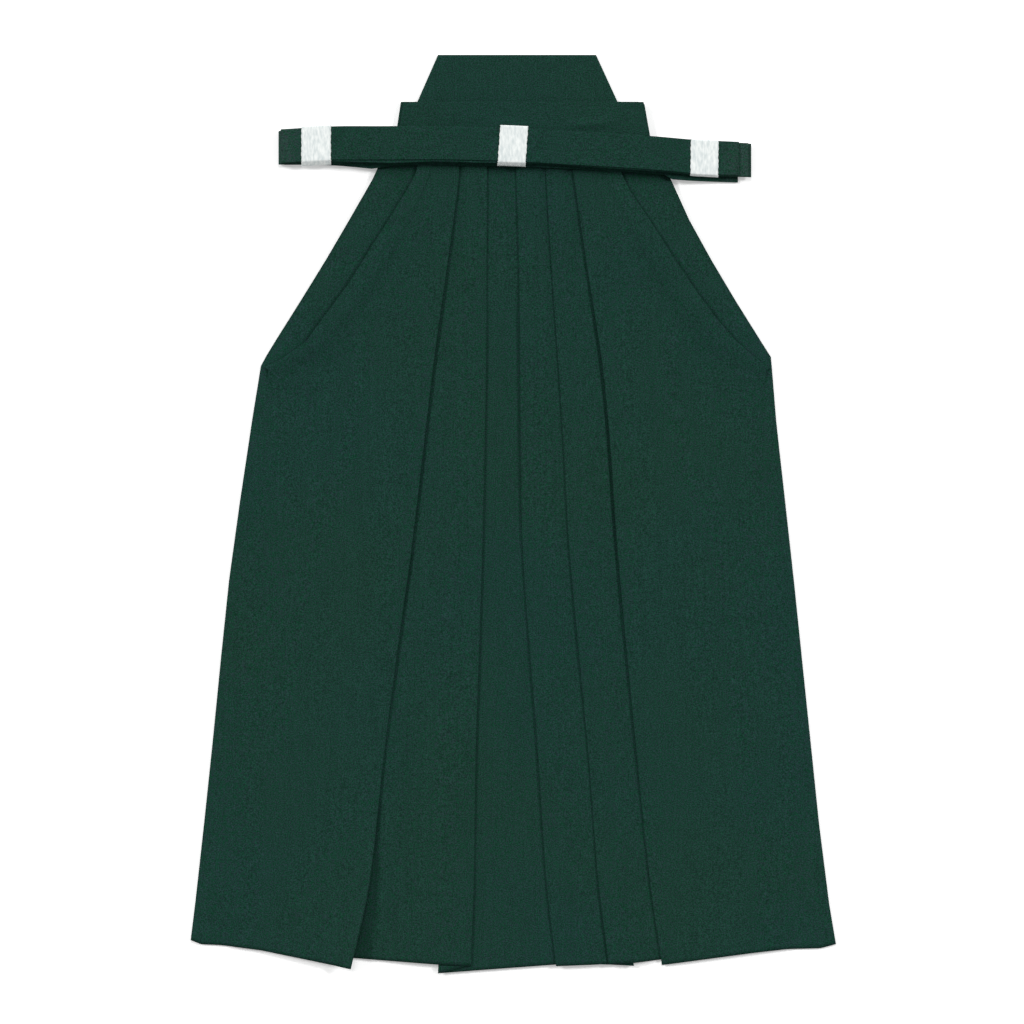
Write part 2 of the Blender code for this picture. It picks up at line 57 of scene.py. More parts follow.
# Points round a fold, and spacing of the points down and across a leg and along a tie
TURN_POINTS = 9
ROW_PITCH = 4.6
COLUMN_PITCH = 4.0
FRONT_TIE_PITCH = 6.0
BACK_TIE_PITCH = 4.0

# Heights, each the underside of what it names
FRONT_FLOOR = STEP
BACK_TIE_FLOOR = 3 * STEP
FRONT_TIE_FLOOR = 7 * STEP

# Lengths down the garment: y of the waist and, about, of the hem, and shares of the way down for
# the top of the back, the slits' first stitches, their lower corners and where the leaves narrow
WAIST_Y = 423.4
HEM_Y = -500.0
BACK_TOP_SHARE = -0.0105
STITCHES_START = 0.06
CORNER_LEFT = 0.27
LEAF_NARROWS = 0.2765
CORNER_RIGHT = 0.2825
LEAF_END = CORNER_RIGHT

# Outer edges of both legs: share of the way down, x of the right leg's, x of the left leg's
EDGES = (
    (BACK_TOP_SHARE, -134.0, 150.0),
    (0.0, -138.5, 152.0),
    (0.03, -151.1, 171.3),
    (0.05, -159.5, 178.5),
    (0.1, -185.5, 199.2),
    (0.15, -212.0, 224.4),
    (0.2, -240.0, 251.5),
    (0.25, -268.5, 280.0),
    (CORNER_LEFT, -279.5, 291.5),
    (CORNER_RIGHT, -285.6, 292.5),
    (0.35, -295.5, 297.5),
    (0.45, -309.0, 307.5),
    (0.55, -321.5, 317.5),
    (0.65, -331.0, 327.0),
    (0.75, -340.0, 336.5),
    (0.85, -349.5, 346.0),
    (0.95, -359.5, 357.5),
    (1.0, -365.1, 365.1),
)

# Leaf folds beside the side slits: share of the way down, width of the leaf on the right leg
# and on the left leg, and how far the cloth is laid under
LEAVES = (
    (0.0, 33.0, 31.0, 12.0),
    (0.04, 45.5, 52.5, 13.0),
    (0.065, 45.4, 51.8, 15.0),
    (0.1, 44.2, 44.5, 18.0),
    (0.14, 42.3, 41.3, 18.0),
    (0.18, 41.8, 38.5, 16.0),
    (0.22, 37.2, 34.2, 14.0),
    (0.25, 34.5, 27.6, 11.0),
    (CORNER_LEFT, 20.0, 17.0, 8.0),
    (LEAF_NARROWS, 13.0, 10.0, 7.0),
    (LEAF_END, 4.5, 2.0, 5.5),
)

# Below the corner of the slit the leaf fold opens out flat: share of the way down, how far
# each of its two bends still turns in degrees, and the length between the bends
LEAF_OPENING = (
    (LEAF_END, 180.0, 3.7),
    (0.286, 130.0, 0.3),
    (0.29, 90.0, 0.7),
    (0.295, 50.0, 1.3),
    (0.302, 20.0, 1.8),
    (0.312, 0.5, 2.0),
)

# Pleats of the right leg's front: share of the way down, x of fold 1 and its depth,
# x of fold 2 and its depth, x of the hidden inner edge
PLEATS_RIGHT = (
    (0.0, -60.0, 24.0, -29.0, 17.0, 21.0),
    (0.05, -61.8, 28.0, -29.3, 19.0, 23.5),
    (0.16, -75.5, 38.0, -30.0, 23.0, 30.0),
    (0.27, -89.8, 48.0, -30.3, 26.0, 36.0),
    (0.5, -115.5, 66.0, -34.8, 31.0, 44.0),
    (0.6, -128.6, 73.0, -37.7, 32.6, 51.5),
    (0.75, -146.8, 84.0, -42.4, 35.0, 63.0),
    (0.9, -162.8, 94.0, -44.4, 36.5, 76.0),
    (1.0, -183.2, 100.0, -47.9, 37.5, 87.5),
)

# Pleats of the left leg's front: share of the way down, x of fold 5 and its depth,
# x of fold 4 and its depth, x of fold 3 and its depth
PLEATS_LEFT = (
    (0.0, 63.0, 24.0, 36.0, 13.0, 1.6, 21.0),
    (0.05, 68.8, 28.0, 37.2, 16.0, 3.4, 22.0),
    (0.16, 84.0, 38.0, 43.3, 19.0, 6.2, 26.0),
    (0.27, 100.0, 48.0, 50.5, 21.0, 7.2, 30.0),
    (0.36, 108.6, 54.0, 56.0, 22.0, 8.0, 32.0),
    (0.5, 117.8, 66.0, 63.4, 24.0, 10.7, 35.0),
    (0.75, 139.8, 84.0, 85.0, 27.0, 28.0, 37.0),
    (0.9, 154.4, 94.0, 96.0, 28.5, 37.4, 39.5),
    (1.0, 167.9, 100.0, 107.6, 29.0, 48.2, 40.5),
)

# How far the two outer panels and the pleated middle of the front are raised at each share
# of the way down
RAISED = (
    (0.0, 3.9, 3.9),
    (0.04, 3.9, 3.9),
    (0.12, 2.5, 3.5),
    (0.2, 0.8, 2.9),
    (0.27, 0.0, 2.6),
    (1.0, 0.0, 2.6),
)

# Hem of each layer of the front: x and y
HEM_RIGHT = {
    "panel": ((-365.1, -482.2), (-354.0, -486.8), (-330.0, -487.9), (-268.6, -495.8),
              (-207.5, -509.4), (-183.5, -513.9)),
    "fold 1": ((-283.2, -488.0), (-183.2, -511.0)),
    "strip 1": ((-283.2, -486.0), (-180.3, -502.6), (-88.6, -509.4), (-47.9, -511.0)),
    "fold 2": ((-85.4, -519.7), (-47.9, -514.0)),
    "strip 2": ((-85.4, -519.0), (-54.7, -517.3), (-10.5, -514.0), (43.8, -510.0), (87.5, -507.0)),
}
HEM_LEFT = {
    "panel": ((167.0, -510.5), (226.8, -502.6), (267.9, -497.0), (308.7, -492.4), (348.3, -491.3),
              (365.1, -486.8)),
    "fold 1": ((167.2, -508.0), (267.2, -493.0)),
    "strip 1": ((106.6, -509.4), (136.6, -507.7), (166.1, -504.3), (267.2, -491.0)),
    "fold 2": ((106.6, -510.5), (135.6, -511.1)),
    "strip 2": ((47.2, -511.5), (71.0, -510.5), (98.2, -509.4), (135.6, -510.5)),
    "fold 3": ((47.2, -510.5), (87.7, -506.0)),
}

# How far the folded edges stand up from their layers: share of the way down, fold 1, fold 5,
# fold 2, fold 4, fold 3, the leaf fold of the right leg and that of the left leg
EDGE_RISE = (
    (0.0, -0.4, -0.4, -0.9, -0.9, -0.8, 0.4, 0.3),
    (0.06, 0.0, 0.0, -0.6, -0.9, -0.6, 1.6, 0.9),
    (0.11, 0.9, 0.3, -0.6, -0.9, -0.4, 1.8, 1.3),
    (0.16, 1.1, 0.6, -0.8, -0.9, -0.4, 2.8, 2.4),
    (0.22, 1.5, 1.3, -0.5, -0.9, 1.0, 3.0, 2.8),
    (0.25, 1.5, 1.7, -0.1, -0.9, 0.6, 2.8, 2.4),
    (0.27, 1.4, 1.9, 0.0, -0.9, 0.4, 2.0, 1.2),
    (0.28, 1.4, 2.0, 0.0, -0.9, 0.3, 1.0, 0.4),
    (0.29, 1.4, 2.1, 0.0, -0.9, 0.1, 0.0, 0.0),
    (0.37, 1.5, 2.4, 0.0, -0.8, 0.7, 0.0, 0.0),
    (0.44, 1.7, 2.6, 0.1, -0.7, 0.2, 0.0, 0.0),
    (0.51, 1.8, 1.5, 0.0, -0.3, -0.4, 0.0, 0.0),
    (0.59, 1.1, 1.2, 0.1, 0.0, -0.5, 0.0, 0.0),
    (0.66, 0.4, 0.4, 0.3, -0.1, 0.2, 0.0, 0.0),
    (0.73, 0.1, 0.3, 0.2, -0.8, 0.0, 0.0, 0.0),
    (0.78, 0.8, -0.2, 0.0, -0.9, 0.2, 0.0, 0.0),
    (0.85, 3.4, -0.5, -0.4, -0.7, -0.3, 0.0, 0.0),
    (0.92, 8.8, -0.5, 0.1, 0.1, -0.6, 0.0, 0.0),
    (1.0, 15.5, -0.5, 0.1, 0.4, -0.2, 0.0, 0.0),
)

# Swell of the cloth beside the same edges, with a groove between: share of the way down,
# fold 1, fold 5, fold 2 and fold 4
BESIDE = (
    (0.0, 0.0, 0.0, 0.0, 0.0),
    (0.08, 0.1, 0.1, 0.0, 0.0),
    (0.15, 0.3, 0.4, 0.1, 0.0),
    (0.22, 0.6, 0.9, 0.1, 0.0),
    (0.28, 0.7, 1.2, 0.2, 0.0),
    (0.4, 0.8, 1.6, 0.2, 0.0),
    (0.48, 1.0, 1.6, 0.2, 0.0),
    (0.55, 1.1, 0.5, 0.2, 0.0),
    (0.62, 0.2, 0.3, 0.1, 0.0),
    (0.7, 0.0, 0.1, 0.3, 0.0),
    (0.78, 0.3, 0.0, 0.2, 0.0),
    (0.83, 1.2, 0.0, 0.0, 0.0),
    (0.88, 0.3, 0.0, 0.0, 0.0),
    (0.94, 0.0, 0.0, 0.1, 0.3),
    (1.0, 0.0, 0.0, 0.0, 0.4),
)

# Form of that swell: distance from the folded edge, and share of the swell. It is narrower
# where there is less room than it needs.
SWELL_FORM = ((1.3, 0.0), (3.0, 0.72), (5.0, 1.0), (9.0, 0.7), (14.0, 0.3), (20.0, 0.0))
SWELL_ROOM = 24.0

# A lifted fold bends up this far from its edge, where it takes a share of the lift. The cloth
# turned under it takes one too.
BEND_REACH = 20.0
BEND_SHARE = 0.3
UNDER_SHARE = 0.8

# An outer panel sinks onto the back where there is room between its leaf fold and first pleat:
# the room at which it starts to, the room more that it needs to lie all the way down, the
# longest slope on each side, in mm and as a share of the room, and the points of a slope
SINK_START = 18.0
SINK_MORE = 150.0
SLOPE_LONGEST = 110.0
SLOPE_SHARE = 0.48
SLOPE_POINTS = 9

# Room between a fold and the slope beside it, steps of a slope beyond a swell, and room at the
# end of fold 3's lower layer
CLEAR = 2.0
SLOPE_STEPS = 8
LAST_ROOM = 0.5

# Share of the creases and the ripple at a folded edge and at a leaf fold. Both start below the
# ties, at this share of the way down, and come in over the next.
EDGE_CREASES = 0.3
LEAF_CREASES = 0.4
CREASES_START = 0.03
CREASES_RUN = 0.06

# Centre pleat of the back: share of the way down, distance of the fold from the centre line,
# and its depth
BACK_PLEAT = (
    (BACK_TOP_SHARE, 1.0, 36.0),
    (0.27, 2.5, 50.0),
    (1.0, 14.0, 84.0),
)
BACK_HEM = (
    (-365.1, -480.0), (-268.6, -492.5), (-183.5, -500.0), (0.0, -503.0), (167.0, -500.0),
    (267.9, -493.5), (365.1, -484.0),
)
EDGE_INSET = 0.6

# The back takes this share of the ripple, from another place in it, and lies flat at the hem
BACK_RIPPLE = 0.6
BACK_RIPPLE_ASIDE = 40.0
BACK_RIPPLE_FADE = 0.05

# Back board: x and y of its corners, clockwise from the upper left
BOARD_CORNERS = ((-85.2, 519.6), (93.6, 519.6), (133.0, 433.9), (-122.9, 433.9))

# Back ties: y of the middle, how much longer their lower edge is than the middle, and their runs
# in the form of the front tie's, with steps above the board's face for the layer
BACK_TIE_Y = 447.1
BACK_TIE_SPREAD = 0.022
BACK_TIE_RIGHT = ((-2, ((-130.2, 0.0),)), (0, ((145.0, 0.0),)), (1, ((-112.0, 0.0),)))
BACK_TIE_LEFT = ((-2, ((151.8, 0.0),)), (2, ((-127.0, 0.0),)), (3, ((150.6, 0.0),)))

# The lower runs of the left tie lie a little lower at their outer end: how much, and the x at
# which this starts and is whole
BACK_TIE_DROOP = 2.4
DROOP_START = 105.0
DROOP_END = 150.0

# Unevenness of the ties sideways: how much, and what x and a point's number are divided by
BACK_TIE_UNEVEN = (0.25, 23.0, 40.0)
FRONT_TIE_UNEVEN = (0.35, 37.0, 60.0)

# Middle line of the front tie's bundle, seen from above: x and y
BUNDLE_LINE = (
    (-266.0, 416.6), (-205.0, 419.8), (-130.0, 419.3), (-50.0, 418.4), (0.0, 417.0), (40.0, 414.8),
    (110.0, 410.3), (170.0, 406.4), (205.0, 403.8), (270.0, 401.2),
)

# The bundle lies on the garment and comes down to the surface on both sides: x and height
BUNDLE_BED = (
    (-300.0, 0.0), (-240.0, 0.0), (-222.0, 0.7), (-204.0, 2.4), (-186.0, 4.5), (-168.0, 6.7),
    (-150.0, 8.4), (-132.0, FRONT_TIE_FLOOR), (158.0, FRONT_TIE_FLOOR), (173.0, 8.4),
    (188.0, 6.7), (203.0, 4.5), (218.0, 2.4), (233.0, 0.7), (248.0, 0.0), (300.0, 0.0),
)

# Run of the front tie from one free end to the other: the layer that each run has in the bundle,
# and along it x and how far the strap lies below the bundle's middle line. At the last x of a run
# it folds over to the next run's layer.
FRONT_TIE_RUNS = (
    (3, ((-236.0, 4.6), (-140.0, 4.6), (-90.0, 2.6), (-40.0, 3.6), (36.0, 1.2), (269.2, 1.6))),
    (2, ((36.0, 1.6), (-40.0, 4.0), (-90.0, 3.0), (-140.0, 4.9), (-259.6, 3.0))),
    (1, ((-196.0, 6.4), (-150.0, 7.0), (-110.0, 5.2), (0.0, 5.0), (110.0, 3.3), (170.0, 3.8),
         (179.0, 8.2), (196.0, 8.0), (254.3, 7.6))),
    (0, ((198.0, 8.2), (180.0, 8.4), (171.0, 4.0), (110.0, 3.6), (0.0, 5.3), (-130.0, 6.0),
         (-160.0, 10.8), (-196.0, 7.1), (-265.7, 2.3))),
    (4, ((-140.0, 4.3), (-90.0, 2.3), (-40.0, 3.2), (36.0, 0.9), (265.7, 1.2))),
    (5, ((36.0, 0.6), (-40.0, 2.9), (-90.0, 2.0), (-140.0, 4.0), (-263.0, 1.0))),
    (6, ((0.0, 0.0), (255.0, 0.0))),
)
TOP_LAYER = 6
FIRST_WRAPPED_LAYER = 2

# The bundle swells between its paper bands: over this distance, by this share of its height,
# and less below this height
PUFF_REACH = 60.0
PUFF_SHARE = 0.09
PUFF_FOOT = 4.0

# Paper bands around the upper layers: name, x of the middle, width along the bundle, how far
# the loop reaches above and below the top strap, and lean of the side edges
PAPER_BANDS = (
    ("paper_band_right", -222.8, 33.4, 0.3, 5.6, 0.0),
    ("paper_band_centre", -0.4, 31.4, 2.2, 5.0, 0.07),
    ("paper_band_left", 216.0, 31.4, 0.3, 2.6, 0.012),
)

# Small creases of the upper back tie: x and y of both ends, half width and height
TIE_CREASES = (
    (58.0, 438.5, 112.0, 443.5, 3.0, 3.0),
    (-96.0, 452.0, -60.0, 449.0, 3.5, 0.35),
)

# Soft creases of the front, seen from above: x and y of both ends, half width and height
CREASES = (
    (-346.0, -392.0, -349.0, -478.0, 5.0, 1.0),
    (-327.0, -420.0, -330.0, -482.0, 6.0, 0.9),
    (150.0, 370.0, 184.0, 370.5, 3.0, 6.5),
    (-262.0, 150.0, -232.0, -20.0, 22.0, 1.1),
    (-300.0, 60.0, -318.0, -190.0, 18.0, 0.8),
    (-214.0, 90.0, -236.0, -260.0, 26.0, 0.9),
    (-268.0, -180.0, -292.0, -460.0, 24.0, 1.0),
    (262.0, 150.0, 238.0, -40.0, 22.0, 1.1),
    (304.0, 60.0, 318.0, -170.0, 18.0, 0.8),
    (206.0, 60.0, 232.0, -250.0, 26.0, 0.9),
    (276.0, -160.0, 300.0, -450.0, 24.0, 1.0),
    (-104.0, 372.0, -132.0, 250.0, 9.0, 0.9),
    (-78.0, 376.0, -92.0, 300.0, 6.0, 0.7),
    (104.0, 372.0, 126.0, 262.0, 9.0, 0.8),
    (84.0, 376.0, 96.0, 306.0, 6.0, 0.6),
    (-42.0, 380.0, -44.0, 320.0, 4.0, 0.5),
    (-8.0, 380.0, -10.0, 330.0, 5.0, 0.5),
    (20.0, 380.0, 23.0, 322.0, 4.0, 0.5),
    (-120.0, -180.0, -142.0, -470.0, 16.0, 0.6),
    (-76.0, 40.0, -84.0, -240.0, 12.0, 0.5),
)


def clamp(value):
    return min(1.0, max(0.0, value))


def ease(t):
    """0 to 1 with level ends."""
    t = clamp(t)
    return t * t * (3.0 - 2.0 * t)


def mix(a, b, t):
    return a + (b - a) * t


def row_before(rows, key):
    """Index of the row at which the stretch of a table with a key starts."""
    low = 0
    while low < len(rows) - 2 and rows[low + 1][0] <= key:
        low += 1
    return low


def straight(rows, key, column=1):
    """Value of a column between the rows of a table, on straight lines."""
    low = row_before(rows, key)
    a, b = rows[low], rows[low + 1]
    return mix(a[column], b[column], (key - a[0]) / (b[0] - a[0]))


def smooth(rows, key, column=1):
    """Value of a column between the rows of a table, on a curve through all of them."""
    low = row_before(rows, key)

    def slope(i):
        before, after = max(i - 1, 0), min(i + 1, len(rows) - 1)
        return (rows[after][column] - rows[before][column]) / (rows[after][0] - rows[before][0])

    a, b = rows[low], rows[low + 1]
    width = b[0] - a[0]
    t = clamp((key - a[0]) / width)
    return (
        (2 * t**3 - 3 * t**2 + 1) * a[column]
        + (t**3 - 2 * t**2 + t) * width * slope(low)
        + (3 * t**2 - 2 * t**3) * b[column]
        + (t**3 - t**2) * width * slope(low + 1)
    )


def turn(edge, facing, start, end, wall=WALL):
    """Half circle of a fold whose outside reaches the edge, from one height to another."""
    radius = abs(end - start) / 2
    middle = edge - facing * (wall / 2 + radius)
    points = []
    for i in range(TURN_POINTS):
        angle = math.pi * (i / (TURN_POINTS - 1) - 0.5)
        across = middle + facing * radius * math.cos(angle)
        points.append((across, (start + end) / 2 + (end - start) / 2 * math.sin(angle)))
    return points


def thicken(line, wall):
    """Both faces of a wall along its middle line, square to it, as two arrays of x and z."""
    steps = np.diff(line, axis=0)
    normals = np.stack([-steps[:, 1], steps[:, 0]], axis=1)
    normals /= np.linalg.norm(normals, axis=1)[:, None]
    both = np.vstack([normals[:1], (normals[1:] + normals[:-1]) / 2, normals[-1:]])
    shift = both * (wall / 2) / (both**2).sum(axis=1)[:, None]
    return line + shift, line - shift


def crease_height(x, y, creases=CREASES):
    """Sum of the soft creases of a table at places seen from above."""
    height = np.zeros_like(x)
    for x0, y0, x1, y1, half, high in creases:
        length = math.hypot(x1 - x0, y1 - y0)
        along = ((x - x0) * (x1 - x0) + (y - y0) * (y1 - y0)) / length**2
        aside = ((x - x0) * (y1 - y0) - (y - y0) * (x1 - x0)) / length
        middle = np.clip(4 * along * (1 - along), 0, 1)
        height += high * middle * np.exp(-(aside / half) ** 2)
    return height


# Height of the ripple of pressed cloth, and the depth of its waves' lowest point
RIPPLE_HEIGHT = 0.11
RIPPLE_DEPTH = 3.05


def ripple(x, y):
    """Low, uneven waviness from four waves that are out of step, never below zero."""
    wave = (
        np.sin(x / 31.0 + np.sin(y / 120.0) * 1.3)
        + np.sin(x / 53.0 - y / 210.0 + 1.7)
        + 0.7 * np.sin(y / 67.0 + x / 90.0 + 0.6)
        + 0.35 * np.sin(x / 12.0 + y / 95.0) * np.sin(y / 41.0)
    )
    return RIPPLE_HEIGHT * (wave + RIPPLE_DEPTH)


def new_object(name, data):
    thing = bpy.data.objects.new(name, data)
    bpy.context.scene.collection.objects.link(thing)
    return thing


def new_piece(name, vertices, faces, node, material):
    """Mesh object from points in millimetres, in place of a node of the frame."""
    mesh = bpy.data.meshes.new(name)
    mesh.from_pydata((np.asarray(vertices) * MM).tolist(), [], faces)
    shape = bmesh.new()
    shape.from_mesh(mesh)
    bmesh.ops.recalc_face_normals(shape, faces=shape.faces[:])
    shape.to_mesh(mesh)
    shape.free()
    mesh.shade_smooth()
    piece = new_object(name, mesh)
    mesh.materials.append(material)
    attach(piece, "root")
    if node:
        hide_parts(node)
    return piece


def shell_faces(rows, columns):
    """Faces of a closed wall between two grids that follow each other in the vertex list."""
    def at(side, r, c):
        return (side * rows + r) * columns + c

    faces = []
    for r in range(rows - 1):
        for c in range(columns - 1):
            for side in (0, 1):
                faces.append((at(side, r, c), at(side, r, c + 1),
                              at(side, r + 1, c + 1), at(side, r + 1, c)))
    for c in range(columns - 1):
        for r in (0, rows - 1):
            faces.append((at(0, r, c), at(1, r, c), at(1, r, c + 1), at(0, r, c + 1)))
    for r in range(rows - 1):
        for c in (0, columns - 1):
            faces.append((at(0, r, c), at(0, r + 1, c), at(1, r + 1, c), at(1, r, c)))
    return faces


def level(layer, raised):
    """Middle height of a layer of the front, counted from its lowest."""
    return FRONT_FLOOR + WALL / 2 + layer * STEP + raised


def slope_points(start, end, low, high):
    """Points of a soft rise or fall between two places."""
    shares = [i / (SLOPE_POINTS - 1) for i in range(SLOPE_POINTS)]
    return [(mix(start, end, t), mix(low, high, ease(t))) for t in shares]


def leaf_points(edge, share, leaf_column, raised, rise):
    """Side edge, leaf and leaf fold, an S of two bends that opens out below the slit."""
    width = straight(LEAVES, min(share, LEAF_END), leaf_column)
    depth = straight(LEAVES, min(share, LEAF_END), 3)
    inner = edge + width + depth
    if share <= LEAF_END:
        degrees, run = 180.0, depth - WALL - STEP
    else:
        opened = min(share, LEAF_OPENING[-1][0])
        degrees, run = straight(LEAF_OPENING, opened, 1), straight(LEAF_OPENING, opened, 2)
    angle = math.radians(degrees)
    radius = STEP / 2 * max(1.0, 90.0 / degrees)
    x, z = inner - WALL / 2 - STEP / 2, level(0, raised)
    line = [(edge, z), (edge + width / 2, z)]
    for i in range(TURN_POINTS):
        bend = angle * i / (TURN_POINTS - 1)
        line.append((x + radius * math.sin(bend), z + radius * (1.0 - math.cos(bend))))
    x, z = line[-1][0] + run * math.cos(angle), line[-1][1] + run * math.sin(angle) + rise
    for i in range(TURN_POINTS):
        bend = angle * (1.0 - i / (TURN_POINTS - 1))
        line.append((x + radius * (math.sin(angle) - math.sin(bend)),
                     z + radius * (math.cos(bend) - math.cos(angle))))
    line.append((max(line[-1][0], inner) + CLEAR, line[-1][1]))
    return line


def panel_points(start, end, start_height, raised):
    """Outer panel, which sinks onto the back between the leaf fold and the first pleat."""
    room = end - start
    sunk = clamp((room - SINK_START) / SINK_MORE)
    lowest = mix(level(2, raised), level(0, raised), sunk)
    reach = min(SLOPE_LONGEST, room * SLOPE_SHARE)
    down = slope_points(start, start + reach, start_height, min(lowest, start_height))
    up = slope_points(end - reach, end, lowest, level(2, raised))
    return down[1:] + up


def shown(points, layer, before=1.0, after=1.0):
    """Points with their layer and with how much of the creases each takes."""
    count = max(len(points) - 1, 1)
    return [(a, z, layer, mix(before, after, i / count)) for i, (a, z) in enumerate(points)]


def swell_points(edge, low, high, end, swell):
    """Slope from a folded edge to a place further in, with the swell beside the edge."""
    narrowed = min(1.0, (end - edge) / SWELL_ROOM)
    line = [(edge + d * narrowed, mix(low, high, ease(d * narrowed / (end - edge))) + part * swell)
            for d, part in SWELL_FORM]
    last = SWELL_FORM[-1][0] * narrowed
    for i in range(1, SLOPE_STEPS + 1):
        d = mix(last, end - edge, i / SLOPE_STEPS)
        line.append((edge + d, mix(low, high, ease(d / (end - edge)))))
    return line


def front_section(share, inward, edge_column, leaf_column, pleats, tail):
    """Middle line of a leg's front at one share of the way down, from its outer edge inward.

    Each point is the distance inward, the height, the layer and its share of the creases.
    """
    outer = straight(RAISED, share, 1)
    middle = straight(RAISED, share, 2)
    edge = inward * straight(EDGES, share, edge_column)
    lift = straight(EDGE_RISE, share, edge_column)
    leaf_rise = straight(EDGE_RISE, share, 5 + leaf_column)
    second_rise = straight(EDGE_RISE, share, 2 + edge_column)
    first, first_depth = inward * smooth(pleats, share, 1), smooth(pleats, share, 2)
    second, second_depth = inward * smooth(pleats, share, 3), smooth(pleats, share, 4)

    leaf = leaf_points(edge, share, leaf_column, outer, leaf_rise)
    line = shown(leaf[:1], "panel", 0.0) + shown(leaf[1:2], "panel")
    line += shown(leaf[2:-1], "panel", 0.0, 0.0) + shown(leaf[-1:], "panel", LEAF_CREASES)
    low, mid, top = (level(layer, outer) for layer in range(3))
    under = first - first_depth
    line += shown(panel_points(leaf[-1][0], under - CLEAR, leaf[-1][1], outer), "panel")
    bend = first - BEND_REACH
    line += shown([(bend, top + BEND_SHARE * lift)], "panel")
    line += shown(turn(first, 1, top + lift, mid + UNDER_SHARE * lift),
                  "panel", EDGE_CREASES, 0.0)
    line += shown([(bend, mid + BEND_SHARE * UNDER_SHARE * lift)], "fold 1", 0.0)
    line += shown(turn(under, -1, mid, low), "fold 1", 0.0, 0.0)
    line += shown([(bend, low)], "strip 1", 0.0)

    start, (low, mid, top) = low, (level(layer, middle) for layer in range(3))
    under = second - second_depth
    swell = straight(BESIDE, share, edge_column)
    line += shown(swell_points(first, start, top, under - CLEAR, swell), "strip 1", 0.0, 1.0)
    line += shown(turn(second, 1, top + second_rise, mid + second_rise / 2),
                  "strip 1", EDGE_CREASES, 0.0)
    line += shown(turn(under, -1, mid, low), "fold 2", 0.0, 0.0)
    line += shown([(second - CLEAR, low)], "strip 2", 0.0)

    swell = straight(BESIDE, share, 2 + edge_column)
    third = inward * smooth(pleats, share, 5)
    if tail == "strip":
        line += shown(swell_points(second, low, low, third, swell), "strip 2", 0.0, 0.0)
    else:
        under = third - smooth(pleats, share, 6)
        line += shown(swell_points(second, low, top, under - CLEAR, swell), "strip 2", 0.0, 1.0)
        third_rise = straight(EDGE_RISE, share, 5)
        line += shown(turn(third, 1, top + third_rise, mid + third_rise / 2),
                      "strip 2", EDGE_CREASES, 0.0)
        line += shown([(under + LAST_ROOM, mid)], "fold 3", 0.0)
    return line


# An even row gives way to a marked one that is nearer than this share of the spacing
MARK_ROOM = 0.3


def shares_down(start, marks):
    """Shares of the way down for the rows of a shell: even rows, and every marked one."""
    rows = round((1.0 - start) * (WAIST_Y - HEM_Y) / ROW_PITCH)
    even = np.linspace(start, 1.0, rows + 1)
    near = MARK_ROOM / rows
    kept = [s for s in even if all(abs(s - m) > near for m in marks)]
    return sorted(kept + list(marks))


def fine_line(points, counts):
    """Points of a line with each stretch cut into as many parts as its count says."""
    points = np.asarray(points, dtype=float)
    pieces = [points[:1]]
    for i, count in enumerate(counts):
        t = np.arange(1, count + 1)[:, None] / count
        pieces.append(points[i] + (points[i + 1] - points[i]) * t)
    return np.vstack(pieces)


def stretch_counts(line, pitch):
    """How many parts of about a pitch each stretch of a line takes, by its first two columns."""
    lengths = np.linalg.norm(np.diff([point[:2] for point in line], axis=0), axis=1)
    return [max(1, round(length / pitch)) for length in lengths]


def cut_runs(line, pitch):
    return fine_line(line, stretch_counts(line, pitch))


# Stitches: distance from the edge, distance between two, and the length, width and height of one
HEM_STITCH = (18.0, 11.0, 1.6, 0.5, 0.22)
SLIT_STITCH = (6.0, 9.0, 1.6, 0.5, 0.22)
BOARD_STITCH = (0.0, 5.0, 3.4, 0.6, 0.25)
STITCH_SUNK = 0.05

# A stitch of the slit follows the edge over this share of the way down. The board's lie this far
# below its foot, and this far in from its corners, a little slanted.
SLIT_AHEAD = 0.01
FOOT_BELOW = 0.4
FOOT_CORNER = 4.0
FOOT_SLANT = 0.3

# A stitch seen from above: share of its half length, of its half width and of its height
STITCH_POINTS = (
    (-1.0, 0.0, 0.0), (-0.6, 1.0, 0.0), (0.6, 1.0, 0.0), (1.0, 0.0, 0.0), (0.6, -1.0, 0.0),
    (-0.6, -1.0, 0.0), (-0.6, 0.0, 1.0), (0.6, 0.0, 1.0),
)
STITCH_FACES = (
    (0, 1, 6), (1, 2, 7, 6), (2, 3, 7), (3, 4, 7), (4, 5, 6, 7), (5, 0, 6), (5, 4, 3, 2, 1, 0),
)


def stitch_piece(name, places, kind, material):
    """Small pillow-shaped stitches, each at a place with its direction and a normal."""
    length, width, height = kind[2:]
    vertices, faces = [], []
    for point, direction, normal in places:
        direction = direction / np.linalg.norm(direction)
        normal = normal / np.linalg.norm(normal)
        aside = np.cross(normal, direction)
        base = len(vertices)
        for along, across, up in STITCH_POINTS:
            vertices.append(point + direction * along * length / 2 + aside * across * width / 2
                            + normal * (up * height - STITCH_SUNK))
        faces += [tuple(base + i for i in face) for face in STITCH_FACES]
    return new_piece(name, vertices, faces, None, material)


def hem_places(upper, lower):
    """Stitches all along the hem of a folded shell, on the face that the upper grid gives."""
    inset, pitch = HEM_STITCH[:2]
    at = len(upper) - 1 - round(inset / ROW_PITCH)
    row, normals = upper[at], upper[at] - lower[at]
    steps = np.linalg.norm(np.diff(row, axis=0), axis=1)
    walked = np.concatenate([[0.0], np.cumsum(steps)])
    places = []
    for along in np.arange(pitch / 2, walked[-1], pitch):
        i = min(max(int(np.searchsorted(walked, along)) - 1, 0), len(steps) - 1)
        direction = row[i + 1] - row[i]
        places.append((row[i] + direction * (along - walked[i]) / steps[i], direction, normals[i]))
    return places


